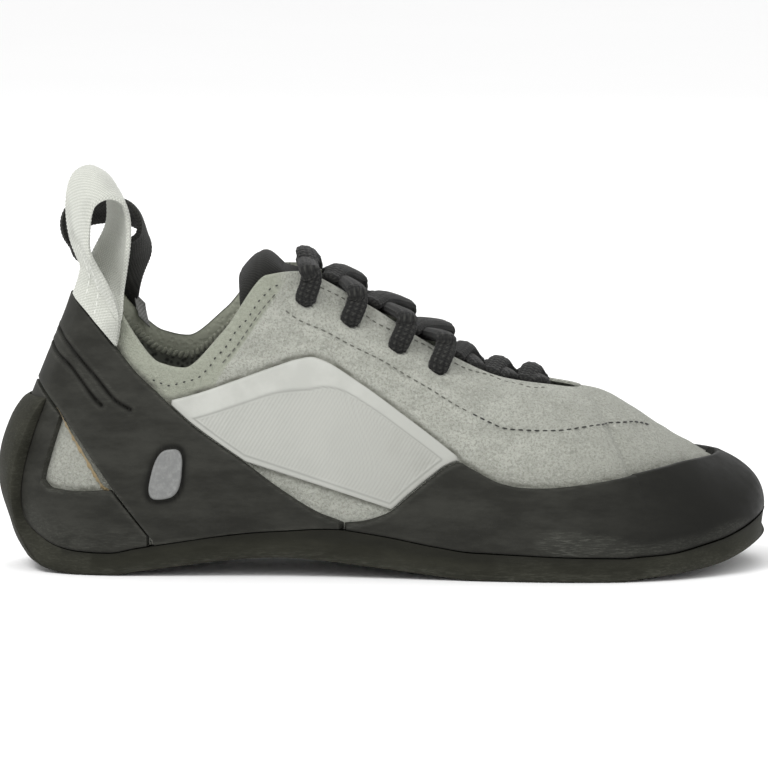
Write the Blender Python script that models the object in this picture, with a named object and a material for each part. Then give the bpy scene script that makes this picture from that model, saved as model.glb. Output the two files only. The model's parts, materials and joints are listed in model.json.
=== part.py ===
"""A laced climbing shoe for the right foot, at women's size 38.

X runs from the heel back to the toe, -Y is the outer side of the foot and Z is up.
One function, the surface of the last, gives the upper, the rubber, the panels and the laces.
A place on it is a station, counted from 0 at the heel back to the toe tip along either side
(negative on the outer side), and a rise, from 0 at the sole to 1 at the collar, throat or ridge.
"""

import math
from collections import namedtuple

import bmesh
import bpy
import numpy as np

# Sizes of the last
LENGTH = 0.248
HEEL_WIDTH = 0.052
BALL_WIDTH = 0.080
HEEL_HEIGHT = 0.0996
INSTEP_HEIGHT = 0.0988

# Sizes of the sole
SOLE_THICKNESS = 0.0075
HEEL_CUP_RISE = 0.0114
ARCH_RISE = 0.0061
TOE_SPRING = 0.0098
SOLE_MARGIN = 0.0004
SOLE_EDGE_HEIGHT = 0.0024
SOLE_EDGE_INSET = 0.0014
HEEL_WRAP_HEIGHT = 0.0557
HEEL_WRAP_THICKNESS = 0.0042
HEEL_WRAP_HALF_WIDTH = 1.25
HEEL_THINNING = 0.35
INSOLE_THICKNESS = 0.0016

# Thickness of each layer, and the clearance between neighbours
UPPER_WALL = 0.0022
COLLAR_BAND_STEP = 0.0004
RAND_THICKNESS = 0.0020
PANEL_THICKNESS = 0.0009
BADGE_THICKNESS = 0.0007
TONGUE_THICKNESS = 0.0034
GAP = 0.0003
LAYER_GAP = 0.0006
SOFT_GAP = 0.0006

# Webbing and lace
WEBBING_WIDTH = 0.0190
WEBBING_THICKNESS = 0.0017
LIGHT_LOOP_RISE = 0.0340
LIGHT_LOOP_SPREAD = 0.0130
DARK_LOOP_RISE = 0.0240
DARK_LOOP_SPREAD = 0.0240
LACE_WIDTH = 0.0062
LACE_THICKNESS = 0.0040
LACE_CLEAR = 0.0009
LACE_EDGE_CLEAR = 0.0030
EYELET_DROP = 0.0100

# Rows of the last, from the heel back to the toe tip. Lengths along are shares of LENGTH, widths of
# the local width, heights of the local height, and the swell of a section of its own height.
Station = namedtuple(
    "Station",
    "along lateral medial low_out low_up high_out high_down fall "
    "top_along top_shift top_gap top_lateral top_medial",
)
LAST = (
    Station(0.038, 0.000, 0.000, 0.159, 0.229, 0.076, 0.348, 0.00, 0.115, 0.000, 0.000, 1.000, 1.000),
    Station(0.044, 0.173, 0.173, 0.142, 0.230, 0.071, 0.342, 0.00, 0.125, 0.000, 0.131, 0.984, 0.984),
    Station(0.062, 0.317, 0.317, 0.118, 0.236, 0.056, 0.336, 0.00, 0.143, 0.000, 0.246, 0.914, 0.919),
    Station(0.095, 0.429, 0.423, 0.100, 0.270, 0.043, 0.327, 0.00, 0.171, 0.000, 0.346, 0.790, 0.823),
    Station(0.145, 0.487, 0.477, 0.092, 0.312, 0.016, 0.345, 0.00, 0.208, 0.000, 0.429, 0.686, 0.743),
    Station(0.222, 0.512, 0.487, 0.087, 0.349, 0.009, 0.349, 0.00, 0.242, 0.000, 0.457, 0.671, 0.726),
    Station(0.306, 0.499, 0.449, 0.077, 0.323, 0.038, 0.323, 0.00, 0.292, 0.000, 0.407, 0.791, 0.822),
    Station(0.395, 0.478, 0.398, 0.062, 0.310, 0.074, 0.310, 0.00, 0.349, 0.000, 0.293, 0.973, 0.979),
    Station(0.484, 0.471, 0.381, 0.061, 0.291, 0.109, 0.254, 0.00, 0.391, 0.004, 0.214, 0.984, 0.984),
    Station(0.573, 0.481, 0.401, 0.059, 0.264, 0.158, 0.211, 0.00, 0.476, 0.007, 0.180, 0.879, 0.879),
    Station(0.661, 0.498, 0.441, 0.055, 0.268, 0.252, 0.142, 0.00, 0.569, 0.010, 0.161, 0.732, 0.732),
    Station(0.742, 0.508, 0.488, 0.055, 0.277, 0.332, 0.101, 0.00, 0.657, 0.013, 0.138, 0.631, 0.631),
    Station(0.806, 0.497, 0.516, 0.058, 0.271, 0.426, 0.058, 0.10, 0.726, 0.017, 0.100, 0.601, 0.601),
    Station(0.863, 0.450, 0.519, 0.051, 0.267, 0.452, 0.021, 0.35, 0.778, 0.025, 0.000, 0.579, 0.579),
    Station(0.907, 0.369, 0.487, 0.059, 0.284, 0.449, 0.000, 0.50, 0.821, 0.044, 0.000, 0.519, 0.519),
    Station(0.944, 0.263, 0.425, 0.073, 0.320, 0.465, 0.000, 0.55, 0.859, 0.069, 0.000, 0.455, 0.455),
    Station(0.970, 0.131, 0.344, 0.090, 0.396, 0.486, 0.000, 0.50, 0.891, 0.094, 0.000, 0.404, 0.404),
    Station(0.984, 0.000, 0.250, 0.111, 0.487, 0.487, 0.000, 0.30, 0.913, 0.113, 0.000, 0.364, 0.364),
    Station(0.989, -0.138, 0.138, 0.120, 0.529, 0.481, 0.000, 0.15, 0.921, 0.125, 0.000, 0.348, 0.348),
)
TIP = len(LAST) - 1
THROAT_TOP = 7.75
THROAT_LAST_ROW = 12
THROAT_END = 12.6

# Side curves of the sole: share of LENGTH, share of the named rise or thickness
THICKNESS_ALONG = (
    (0.02, 0.95), (0.14, 0.95), (0.18, 1.00), (0.28, 1.05), (0.37, 1.15), (0.42, 1.35), (0.45, 1.43),
    (0.50, 1.38), (0.56, 1.25), (0.65, 1.15), (0.73, 1.05), (0.80, 1.00), (0.87, 0.88), (0.93, 1.00),
    (1.01, 1.00),
)
CUP_ALONG = (
    (0.012, 1.360), (0.026, 1.000), (0.038, 0.640), (0.048, 0.470), (0.062, 0.280), (0.075, 0.150),
    (0.100, 0.035), (0.125, 0.000),
)
ARCH_ALONG = (
    (0.145, 0.00), (0.18, 0.21), (0.23, 0.50), (0.285, 0.80), (0.34, 0.98), (0.37, 1.00), (0.415, 0.90),
    (0.47, 0.65), (0.52, 0.42), (0.57, 0.18), (0.615, 0.00),
)
SPRING_ALONG = ((0.81, 0.00), (0.835, 0.09), (0.887, 0.22), (0.93, 0.37), (0.968, 0.65), (1.00, 1.00))

# Edges of the overlays, seen from the side: share of LENGTH, share of HEEL_HEIGHT except at the toe rand
SLING_TOP = (
    (0.090, 0.960), (0.104, 0.888), (0.127, 0.812), (0.154, 0.729), (0.180, 0.651), (0.206, 0.592),
    (0.246, 0.499), (0.285, 0.429), (0.324, 0.364), (0.364, 0.290), (0.416, 0.210), (0.449, 0.178),
    (0.520, 0.060),
)
SLING_LOWER = (
    (0.040, 0.660), (0.077, 0.537), (0.085, 0.512), (0.149, 0.281), (0.160, 0.246), (0.171, 0.211),
    (0.198, 0.127), (0.214, 0.080), (0.235, 0.010),
)
WINDOW_SILL = ((0.055, 0.340), (0.062, 0.300), (0.072, 0.278), (0.101, 0.272), (0.146, 0.278))
# The toe rand lies on the forefoot, so its heights are shares of INSTEP_HEIGHT
TOE_RAND_TOP = (
    (0.380, 0.050), (0.449, 0.179), (0.470, 0.185), (0.505, 0.215), (0.534, 0.275), (0.560, 0.328),
    (0.582, 0.367), (0.598, 0.380), (0.610, 0.365), (0.652, 0.314), (0.680, 0.301), (0.705, 0.299),
    (0.758, 0.310), (0.810, 0.328), (0.862, 0.348), (0.889, 0.353), (0.921, 0.349), (0.960, 0.343),
)
PANEL_TOP = (
    (0.215, 0.560), (0.258, 0.588), (0.311, 0.634), (0.363, 0.680), (0.390, 0.700), (0.406, 0.706),
    (0.420, 0.697), (0.468, 0.625), (0.521, 0.532), (0.573, 0.437), (0.600, 0.384),
    (0.660, 0.240),
)
PANEL_LOWER = ((0.320, 0.370), (0.510, 0.222), (0.600, 0.150))
COLLAR_BAND_EDGE = (
    (0.095, 0.880), (0.140, 0.720), (0.200, 0.520), (0.260, 0.550), (0.294, 0.668), (0.315, 0.738),
    (0.343, 0.838), (0.363, 0.909), (0.385, 0.975),
)

# Stations where overlays turn or meet, and the height at which a tapering one is cut off
WINDOW_START = 1.85
WINDOW_CORNER = 0.10
SLING_CORNER = 0.04
RANDS_MEET = 7.6
PANEL_STARTS = (3.0, 5.5)
PANEL_MIDDLE = 8.0
PANEL_ENDS = (8.5, 12.0)
TONGUE_START = 6.4
TONGUE_END = 12.2
BLUNT_END = 0.0016

# Rows across the sole: station and how far the row bends along the outline
HEEL_ROWS = (
    (1.33, 0.98), (1.45, 0.93), (1.60, 0.87), (1.75, 0.80), (2.10, 0.62), (2.50, 0.40), (2.90, 0.18),
    (3.30, 0.00),
)
TOE_ROWS = (
    (13.6, 0.00), (14.3, 0.04), (15.0, 0.12), (15.6, 0.25), (16.1, 0.42), (16.5, 0.62), (16.9, 1.00),
)
WRAP_ROWS = 8

# How finely the curves are divided
HALF_GRID = (
    0.0, 0.5, 1.0, 1.5, 1.85, 1.95, 2.5, 3.0, 3.5, 4.0, 4.57, 5.14, 5.71, 6.29, 6.86, 7.43, 8.0, 8.57,
    9.14, 9.71, 10.29, 10.86, 11.43, 12.0, 12.3, 12.5, 12.6, 13.0, 13.6, 14.2, 14.8, 15.4, 16.0, 16.5,
    17.0, 17.5,
)
MIN_STEP = 0.08
BAND_ROW = 7
WALL_ROWS = 10
SOLE_ACROSS = 8
LACE_STEPS = 9
LACE_SIDES = 6
LOOP_ACROSS = 3
STEM_ROWS = 5
BADGE_SIDES = 16

# Places of the lace rows along the throat, as shares of LENGTH, and how far each row leans back
LaceRow = namedtuple("LaceRow", "along lean over_edge")
LACE_START = 0.24
LACE_ROWS = (
    LaceRow(0.397, -0.008, True), LaceRow(0.455, 0.018, True), LaceRow(0.517, 0.026, True),
    LaceRow(0.568, 0.026, True), LaceRow(0.622, 0.022, False), LaceRow(0.664, 0.018, False),
    LaceRow(0.705, 0.016, False),
)

# The two pull loops: stations of their seam, and the way that the free strap faces, in degrees
# from straight back; then half the shape of a loop as shares of its height and spread
LoopShape = namedtuple("LoopShape", "first last rise spread facing")
LIGHT_LOOP = LoopShape(-0.62, -2.72, LIGHT_LOOP_RISE, LIGHT_LOOP_SPREAD, 24.0)
DARK_LOOP = LoopShape(0.70, 3.10, DARK_LOOP_RISE, DARK_LOOP_SPREAD, -8.0)
LOOP_LINE = (
    (0.00, 0.00), (0.10, 0.26), (0.26, 0.64), (0.46, 0.94), (0.66, 1.00), (0.84, 0.84), (0.95, 0.50),
    (1.00, 0.00),
)

# The badge: middle and half size in stations and rise
BADGE_MIDDLE = (-4.86, 0.40)
BADGE_HALF = (0.30, 0.14)

# Colour, roughness
SUEDE = ((0.50, 0.51, 0.48), 0.95)
RUBBER = ((0.045, 0.043, 0.039), 0.6)
SOLE_RUBBER = ((0.032, 0.032, 0.028), 0.7)
PANEL = ((0.58, 0.59, 0.56), 0.6)
DARK_CLOTH = ((0.018, 0.018, 0.016), 0.9)
LIGHT_WEBBING = ((0.72, 0.73, 0.68), 0.85)
BOARD = ((0.20, 0.21, 0.18), 0.9)
BADGE = ((0.30, 0.31, 0.30), 0.5)


def ramp(value, start, end):
    """Smooth step from 0 at start to 1 at end."""
    share = min(1.0, max(0.0, (value - start) / (end - start)))
    return share * share * (3.0 - 2.0 * share)


def between(a, b, share):
    return a + (b - a) * share


def smooth_curve(places, values, flat_ends=False):
    """A curve through the values that never swings past them."""
    count = len(places)
    rises = [(values[i + 1] - values[i]) / (places[i + 1] - places[i]) for i in range(count - 1)]
    slopes = [0.0] * count
    for i in range(1, count - 1):
        if rises[i - 1] * rises[i] > 0:
            slopes[i] = 2.0 * rises[i - 1] * rises[i] / (rises[i - 1] + rises[i])
    if not flat_ends:
        slopes[0] = rises[0]
        slopes[-1] = rises[-1]

    def read(place):
        if place <= places[0]:
            return values[0]
        if place >= places[-1]:
            return values[-1]
        i = max(k for k in range(count - 1) if places[k] <= place)
        width = places[i + 1] - places[i]
        f = (place - places[i]) / width
        start = (1 + 2 * f) * (1 - f) ** 2 * values[i] + f * (1 - f) ** 2 * width * slopes[i]
        return start + f * f * (3 - 2 * f) * values[i + 1] + f * f * (f - 1) * width * slopes[i + 1]

    return read


def side_curve(table, along_size, rise_size, flat_ends=False):
    """A table of shares as a curve in real sizes."""
    places = [row[0] * along_size for row in table]
    return smooth_curve(places, [row[1] * rise_size for row in table], flat_ends)


def ring_curve(lateral, medial):
    """A smooth closed curve over the stations of both sides."""
    ring = [lateral[-k] if k < 0 else medial[k] for k in range(1 - TIP, TIP + 1)]
    count = len(ring)

    def read(station):
        k = math.floor(station)
        f = station - k
        p, q, r, s = (ring[(k + shift + TIP - 1) % count] for shift in (-1, 0, 1, 2))
        return q + 0.5 * f * (r - p + f * (2 * p - 5 * q + 4 * r - s + f * (3 * (q - r) + s - p)))

    return read


thickness_at = side_curve(THICKNESS_ALONG, LENGTH, SOLE_THICKNESS)
cup_at = side_curve(CUP_ALONG, LENGTH, HEEL_CUP_RISE)
arch_at = side_curve(ARCH_ALONG, LENGTH, ARCH_RISE, True)
spring_at = side_curve(SPRING_ALONG, LENGTH, TOE_SPRING)


def sole_bottom(x):
    return arch_at(x) + spring_at(x)


def sole_top(x):
    return sole_bottom(x) + thickness_at(x) + cup_at(x)


def column(name):
    return [getattr(row, name) for row in LAST]


def local_width(along):
    return between(HEEL_WIDTH, BALL_WIDTH, ramp(along, 0.20, 0.75))


def local_height(along):
    return between(HEEL_HEIGHT, INSTEP_HEIGHT, ramp(along, 0.20, 0.38))


STATION_NUMBERS = list(range(TIP + 1))
foot_x = ring_curve([row.along * LENGTH for row in LAST], [row.along * LENGTH for row in LAST])
foot_y = ring_curve(
    [-row.lateral * local_width(row.along) for row in LAST],
    [row.medial * local_width(row.along) for row in LAST],
)
swell = {
    name: smooth_curve(STATION_NUMBERS, column(name), True)
    for name in ("low_out", "low_up", "high_out", "high_down", "fall")
}
top_x = smooth_curve(STATION_NUMBERS, [row.top_along * LENGTH for row in LAST], True)
top_shift = smooth_curve(STATION_NUMBERS, [row.top_shift * local_width(row.along) for row in LAST])
top_gap = smooth_curve(STATION_NUMBERS, [row.top_gap * local_width(row.along) for row in LAST])
top_z = {
    -1: smooth_curve(STATION_NUMBERS, [row.top_lateral * local_height(row.top_along) for row in LAST], True),
    1: smooth_curve(STATION_NUMBERS, [row.top_medial * local_height(row.top_along) for row in LAST], True),
}


def side_of(station):
    return -1 if station < 0 else 1


def throat_gap(station):
    """Half the opening at the top of a section; the throat closes in a round end."""
    reach = abs(station)
    if reach <= THROAT_LAST_ROW:
        return top_gap(reach)
    closing = min(1.0, (reach - THROAT_LAST_ROW) / (THROAT_END - THROAT_LAST_ROW))
    return top_gap(THROAT_LAST_ROW) * math.sqrt(1.0 - closing * closing)


def outward(station):
    """Level direction away from the foot, square to the outline of the last."""
    step = 0.02
    dx = foot_x(station + step) - foot_x(station - step)
    dy = foot_y(station + step) - foot_y(station - step)
    size = math.hypot(dx, dy)
    return np.array((-dy / size, dx / size, 0.0))


section_store = {}


def section(station):
    """The four points that shape one section of the last, sole to top."""
    if station not in section_store:
        reach = abs(station)
        side = side_of(station)
        x = foot_x(station)
        foot = np.array((x, foot_y(station), sole_top(x) + GAP))
        top = np.array((top_x(reach), top_shift(reach) + side * throat_gap(station), top_z[side](reach)))
        height = top[2] - foot[2]
        out = outward(station)
        low = foot + out * swell["low_out"](reach) * height
        low[2] += swell["low_up"](reach) * height
        swing = swell["high_out"](reach)
        high = top + out * swing * height
        high[2] -= height * (swell["high_down"](reach) + swing * out[0] * swell["fall"](reach))
        section_store[station] = (foot, low, high, top)
    return section_store[station]


def skin(station, rise):
    """A point on the last."""
    foot, low, high, top = section(station)
    rest = 1.0 - rise
    return rest**3 * foot + 3 * rest * rest * rise * low + 3 * rest * rise * rise * high + rise**3 * top


def flat_normal(station, rise):
    step = 0.01
    rise = min(0.985, max(0.01, rise))
    along = skin(station + step, rise) - skin(station - step, rise)
    up = skin(station, rise + step) - skin(station, rise - step)
    normal = np.cross(up, along)
    return normal / np.linalg.norm(normal)


def normal_at(station, rise):
    """Outward normal; both sides agree on the ridge, on the heel back and at the toe tip."""
    reach = min(abs(station), TIP - 0.02)
    station = side_of(station) * reach
    share = 0.0
    if reach > THROAT_END - 0.01:
        share = ramp(rise, 0.9, 1.0)
    if reach > TIP - 0.03:
        share = 1.0
    normal = flat_normal(station, rise)
    normal = between(normal, (normal + flat_normal(-station, rise)) / 2.0, share)
    return normal / np.linalg.norm(normal)


def on_last(station, rise, lift):
    """A point at a height above the skin of the last; inside it where the lift is negative."""
    return skin(station, rise) + normal_at(station, rise) * lift


def find_rise(goal, low=0.0, high=1.0):
    """The rise at which goal(rise) turns from negative to positive."""
    if goal(low) >= 0:
        return low
    if goal(high) <= 0:
        return high
    for _ in range(26):
        middle = (low + high) / 2
        if goal(middle) < 0:
            low = middle
        else:
            high = middle
    return (low + high) / 2


def rise_of_edge(edge, station):
    """Where a section crosses an edge that is drawn from the side."""
    def above(rise):
        point = skin(station, rise)
        return point[2] - edge(point[0])
    return find_rise(above)


def rise_of_seat(station, lift):
    """Where a layer that stands off the last meets the top of the sole."""
    def above(rise):
        point = on_last(station, rise, lift)
        return point[2] - sole_top(point[0]) - GAP
    return find_rise(above, 0.0, 0.5)


def rise_at_height(station, height, lift=0.0):
    return find_rise(lambda rise: on_last(station, rise, lift)[2] - height)


def outline(station, offset):
    """A point of the last's outline at the sole, moved outwards."""
    point = np.array((foot_x(station), foot_y(station), 0.0)) + outward(station) * offset
    return point[0], point[1]


sling_top = side_curve(SLING_TOP, LENGTH, HEEL_HEIGHT)
sling_lower = side_curve(SLING_LOWER, LENGTH, HEEL_HEIGHT)
window_sill = side_curve(WINDOW_SILL, LENGTH, HEEL_HEIGHT)
toe_rand_top = side_curve(TOE_RAND_TOP, LENGTH, INSTEP_HEIGHT)
panel_top = side_curve(PANEL_TOP, LENGTH, HEEL_HEIGHT)
panel_lower = side_curve(PANEL_LOWER, LENGTH, HEEL_HEIGHT)
collar_band_edge = side_curve(COLLAR_BAND_EDGE, LENGTH, HEEL_HEIGHT)


def stations_between(start, end):
    """Stations at the spacing that the curve of the outline needs, both ends kept."""
    inside = [station for station in HALF_GRID if start + MIN_STEP < station < end - MIN_STEP]
    return [start] + inside + [end]


def rgb(colour):
    return (colour[0], colour[1], colour[2], 1.0)


def material(name, finish):
    """A plain Principled material for one piece."""
    colour, roughness = finish
    made = bpy.data.materials.new(name)
    made.use_nodes = True
    shader = made.node_tree.nodes["Principled BSDF"]
    shader.inputs["Base Color"].default_value = rgb(colour)
    shader.inputs["Roughness"].default_value = roughness
    shader.inputs["Metallic"].default_value = 0.0
    made.diffuse_color = rgb(colour)
    return made


def solid(name, points, faces, finish):
    """A closed object from points and faces; points that coincide become one."""
    mesh = bpy.data.meshes.new(name)
    form = bmesh.new()
    corners = [form.verts.new(point) for point in points]
    for face in faces:
        form.faces.new([corners[i] for i in face])
    bmesh.ops.remove_doubles(form, verts=form.verts, dist=0.00001)
    bmesh.ops.dissolve_degenerate(form, edges=form.edges, dist=0.000001)
    bmesh.ops.recalc_face_normals(form, faces=form.faces)
    if form.calc_volume(signed=True) < 0:
        bmesh.ops.reverse_faces(form, faces=form.faces)
    form.to_mesh(mesh)
    form.free()
    mesh.shade_smooth()
    mesh.set_sharp_from_angle(angle=math.radians(40))
    made = bpy.data.objects.new(name, mesh)
    made.data.materials.append(material(name, finish))
    bpy.context.scene.collection.objects.link(made)
    return made


def sheet_between(outer, inner):
    """Points and faces of a closed slab from two grids of equal size."""
    rows = len(outer)
    across = len(outer[0])
    points = [point for row in outer for point in row] + [point for row in inner for point in row]
    back = rows * across

    def at(i, j):
        return i * across + j

    faces = []
    for i in range(rows - 1):
        for j in range(across - 1):
            quad = (at(i, j), at(i, j + 1), at(i + 1, j + 1), at(i + 1, j))
            faces.append(quad)
            faces.append(tuple(back + k for k in reversed(quad)))
    border = [at(0, j) for j in range(across)]
    border += [at(i, across - 1) for i in range(1, rows)]
    border += [at(rows - 1, j) for j in range(across - 2, -1, -1)]
    border += [at(i, 0) for i in range(rows - 2, 0, -1)]
    for a, b in zip(border, border[1:] + border[:1]):
        faces.append((b, a, back + a, back + b))
    return points, faces


def overlay(name, stations, low, high, lift, thickness, rows, finish):
    """A layer on the last between two edges; low and high give the rise at (station, lift)."""
    grids = []
    for height in (lift + thickness, lift):
        grid = []
        for station in stations:
            start = low(station, height)
            end = high(station, height)
            grid.append([on_last(station, between(start, end, j / rows), height) for j in range(rows + 1)])
        grids.append(grid)
    return solid(name, *sheet_between(*grids), finish)


def both_sides(stations):
    """The same stations from the outer side over the heel back to the inner side."""
    return [-s for s in reversed(stations) if s > 0] + list(stations)


# Upper
def wall_rises(station):
    """Rises of the wall's rows; two of them hold the step under the collar band."""
    step = min(0.95, max(0.55, rise_of_edge(collar_band_edge, station)))
    below = [step * j / BAND_ROW for j in range(BAND_ROW)] + [step - 0.004]
    above = [between(step + 0.004, 1.0, j / (WALL_ROWS - BAND_ROW)) for j in range(WALL_ROWS - BAND_ROW + 1)]
    return below + above


def band_drop(station, row):
    """How far the collar band lies below the suede in front of it."""
    if row <= BAND_ROW:
        return 0.0
    return COLLAR_BAND_STEP * (1.0 - ramp(abs(station), THROAT_TOP - 0.6, THROAT_TOP))


def build_upper():
    """One hollow wall, open at the collar, the throat and the sole."""
    points = []
    faces = []
    half = stations_between(0.0, float(TIP))
    for side in (-1, 1):
        outer = []
        inner = []
        for reach in half:
            station = side * reach if reach else 0.0
            rises = wall_rises(station)
            outer.append([on_last(station, rise, -band_drop(station, row)) for row, rise in enumerate(rises)])
            inner.append([on_last(station, rise, -UPPER_WALL) for rise in rises])
        across = len(outer[0])
        base = len(points)
        points += [point for row in outer for point in row] + [point for row in inner for point in row]
        back = base + len(half) * across
        for i in range(len(half) - 1):
            for j in range(across - 1):
                quad = [i * across + j, i * across + j + 1, (i + 1) * across + j + 1, (i + 1) * across + j]
                if side < 0:
                    quad.reverse()
                faces.append([base + k for k in quad])
                faces.append([back + k for k in reversed(quad)])
            for j in (0, across - 1):
                if j and half[i + 1] > THROAT_END + 0.01:
                    continue
                a, b = i * across + j, (i + 1) * across + j
                rim = [base + a, base + b, back + b, back + a]
                if (side < 0) == (j == 0):
                    rim.reverse()
                faces.append(rim)
    return solid("upper", points, faces, SUEDE)


# Outsole and insole
def wrap_thickness(share):
    """Thickness of the heel wrap, thin at its top edge and full from a third of the way down."""
    return HEEL_WRAP_THICKNESS * smooth_curve((0.0, 0.25, 0.55, 1.0), (0.26, 0.84, 1.0, 0.80))(share)


def heel_wrap_rings():
    lift = LAYER_GAP + RAND_THICKNESS + GAP
    rings = []
    for i in range(WRAP_ROWS + 1):
        share = i / WRAP_ROWS
        inner = []
        outer = []
        for j in range(SOLE_ACROSS + 1):
            station = between(-1.0, 1.0, j / SOLE_ACROSS) * HEEL_WRAP_HALF_WIDTH
            start = rise_at_height(station, HEEL_WRAP_HEIGHT, lift)
            rise = between(start, rise_of_seat(station, lift), share)
            inner.append(on_last(station, rise, lift))
            outer.append(on_last(station, rise, lift + wrap_thickness(share)))
        rings.append((inner, outer))
    return rings


def sole_row(reach, bend, from_toe):
    """One row across the sole: straight, or bent along the outline at the heel or the toe."""
    offset = LAYER_GAP + RAND_THICKNESS + SOLE_MARGIN
    ends = [outline(-reach, offset), outline(reach, offset)]
    row = []
    for j in range(SOLE_ACROSS + 1):
        v = between(-1.0, 1.0, j / SOLE_ACROSS)
        straight = [between(ends[0][k], ends[1][k], j / SOLE_ACROSS) for k in (0, 1)]
        if from_toe:
            place = math.copysign(TIP - abs(v) * (TIP - reach), v)
        else:
            place = v * reach
        curved = outline(place, offset)
        row.append([between(straight[k], curved[k], bend) for k in (0, 1)])
    return row


def sole_ring(row, bend):
    """Upper and lower points of one row of the sole; the heel thickens square to its cup."""
    inner = []
    outer = []
    for x, y in row:
        slope = (sole_top(x + 0.0005) - sole_top(x - 0.0005)) / 0.001
        square = min(1.0, 1.4 * bend)
        tilt = math.atan(slope) * square
        thinned = thickness_at(x) * (1.0 - HEEL_THINNING * ramp(bend, 0.5, 1.0))
        depth = between(sole_top(x) - sole_bottom(x), thinned, square)
        inner.append(np.array((x, y, sole_top(x))))
        outer.append(np.array((x + math.sin(tilt) * depth, y, sole_top(x) - math.cos(tilt) * depth)))
    return inner, outer


def build_outsole():
    """One sheet from the thin edge up the heel back, round under the heel and on to the toe."""
    rings = heel_wrap_rings()
    for reach, bend in HEEL_ROWS:
        rings.append(sole_ring(sole_row(reach, bend, False), bend))
    for reach in stations_between(3.8, TOE_ROWS[0][0])[:-1]:
        rings.append(sole_ring(sole_row(reach, 0.0, False), 0.0))
    for reach, bend in TOE_ROWS:
        rings.append(sole_ring(sole_row(reach, bend, True), 0.0))
    points = []
    count = SOLE_ACROSS + 1
    for inner, outer in rings:
        middle = []
        for end in (0, -1):
            drop = outer[end] - inner[end]
            depth = np.linalg.norm(drop)
            middle.append(inner[end] + drop * max(0.4, 1.0 - SOLE_EDGE_HEIGHT / depth))
            inset = 1.0 - SOLE_EDGE_INSET * min(1.0, depth / SOLE_THICKNESS) / abs(outer[end][1])
            outer[end] = outer[end] * np.array((1.0, inset, 1.0))
        points += inner + [middle[1]] + outer[::-1] + [middle[0]]
    size = 2 * count + 2
    faces = []
    for i in range(len(rings) - 1):
        for j in range(size):
            k = (j + 1) % size
            faces.append((i * size + j, i * size + k, (i + 1) * size + k, (i + 1) * size + j))
    for first, order in ((0, 1), ((len(rings) - 1) * size, -1)):
        for j in range(SOLE_ACROSS):
            top = (first + j, first + j + 1)
            low = (first + size - 2 - j, first + size - 3 - j)
            faces.append((top[0], top[1], low[1], low[0])[::order])
        faces.append((first + SOLE_ACROSS, first + count, first + count + 1)[::order])
        faces.append((first, first + size - 2, first + size - 1)[::order])
    return solid("outsole", points, faces, SOLE_RUBBER)


def build_insole():
    """The board inside the wall, laid on the sole."""
    inset = -(UPPER_WALL + SOFT_GAP)
    grids = ([], [])
    across = 2
    for reach in stations_between(1.3, 17.2):
        ends = [outline(-reach, inset), outline(reach, inset)]
        for grid, lift in zip(grids, (GAP + INSOLE_THICKNESS, GAP)):
            row = []
            for j in range(across + 1):
                x, y = (between(ends[0][k], ends[1][k], j / across) for k in (0, 1))
                row.append(np.array((x, y, sole_top(x) + lift)))
            grid.append(row)
    return solid("insole", *sheet_between(*grids), BOARD)


# Rubber
def sling_low(station, lift):
    return max(rise_of_edge(sling_lower, station), rise_of_seat(station, lift))


def at_least_blunt(rise, station, lift):
    """Keeps a rand as tall as its blunt end above the sole."""
    foot, low, high, top = section(station)
    return max(rise, rise_of_seat(station, lift) + BLUNT_END / (top[2] - foot[2]))


def sling_high(station, lift):
    return at_least_blunt(rise_of_edge(sling_top, station), station, lift)


def edge_gap(station):
    """The clearance between two overlays, as a rise."""
    foot, low, high, top = section(station)
    return GAP / (top[2] - foot[2])


def last_station(low, high, start, end, lift):
    """The station where a tapering overlay has become as short as its blunt end."""
    def missing(station):
        first = on_last(station, low(station, lift), lift)
        final = on_last(station, high(station, lift), lift)
        return BLUNT_END - (final[2] - first[2])
    return find_rise(missing, start, end)


def heel_rand_end():
    """The station where the heel rand has run out between the sling and the sole."""
    return last_station(rise_of_seat, heel_rand_high, 3.0, 6.0, LAYER_GAP + RAND_THICKNESS)


def build_heel_sling():
    """The diagonal band; past the end of the heel rand it reaches down to the sole."""
    step = heel_rand_end() + GAP / (foot_x(5.5) - foot_x(4.5))
    half = [s for s in stations_between(0.0, RANDS_MEET) if abs(s - step) > MIN_STEP]
    half = sorted(half + [step, step + SLING_CORNER])

    def low(station, lift):
        if abs(station) > step + SLING_CORNER / 2:
            return rise_of_seat(station, lift)
        return sling_low(station, lift)

    return overlay("heel_sling", both_sides(half), low, sling_high, LAYER_GAP, RAND_THICKNESS, 5, RUBBER)


def heel_rand_high(station, lift):
    top = rise_of_edge(sling_lower, station) - edge_gap(station)
    if abs(station) > WINDOW_START + WINDOW_CORNER / 2:
        top = min(top, rise_of_edge(window_sill, station))
    return top


def build_heel_rand():
    """The rubber cup of the heel, with an opening below the sling on each side."""
    stations = both_sides(stations_between(0.0, heel_rand_end()))
    return overlay("heel_rand", stations, rise_of_seat, heel_rand_high, LAYER_GAP, RAND_THICKNESS, 5, RUBBER)


def toe_rand_high(station, lift):
    return at_least_blunt(rise_of_edge(toe_rand_top, station), station, lift)


def build_toe_rand():
    """The rubber cap round the toe and back along both sides to the sling."""
    gap_here = GAP / (foot_x(RANDS_MEET + 0.5) - foot_x(RANDS_MEET - 0.5))
    half = stations_between(RANDS_MEET + gap_here, float(TIP))
    stations = half + [-s for s in reversed(half[:-1])]
    return overlay("toe_rand", stations, rise_of_seat, toe_rand_high, LAYER_GAP, RAND_THICKNESS, 6, RUBBER)


# Side panels
def panel_low(station, lift):
    sling = rise_of_edge(sling_top, station)
    rand = 0.0
    if abs(station) > PANEL_MIDDLE:
        rand = rise_of_edge(toe_rand_top, station)
    return max(sling, rand, rise_of_edge(panel_lower, station)) + edge_gap(station)


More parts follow.
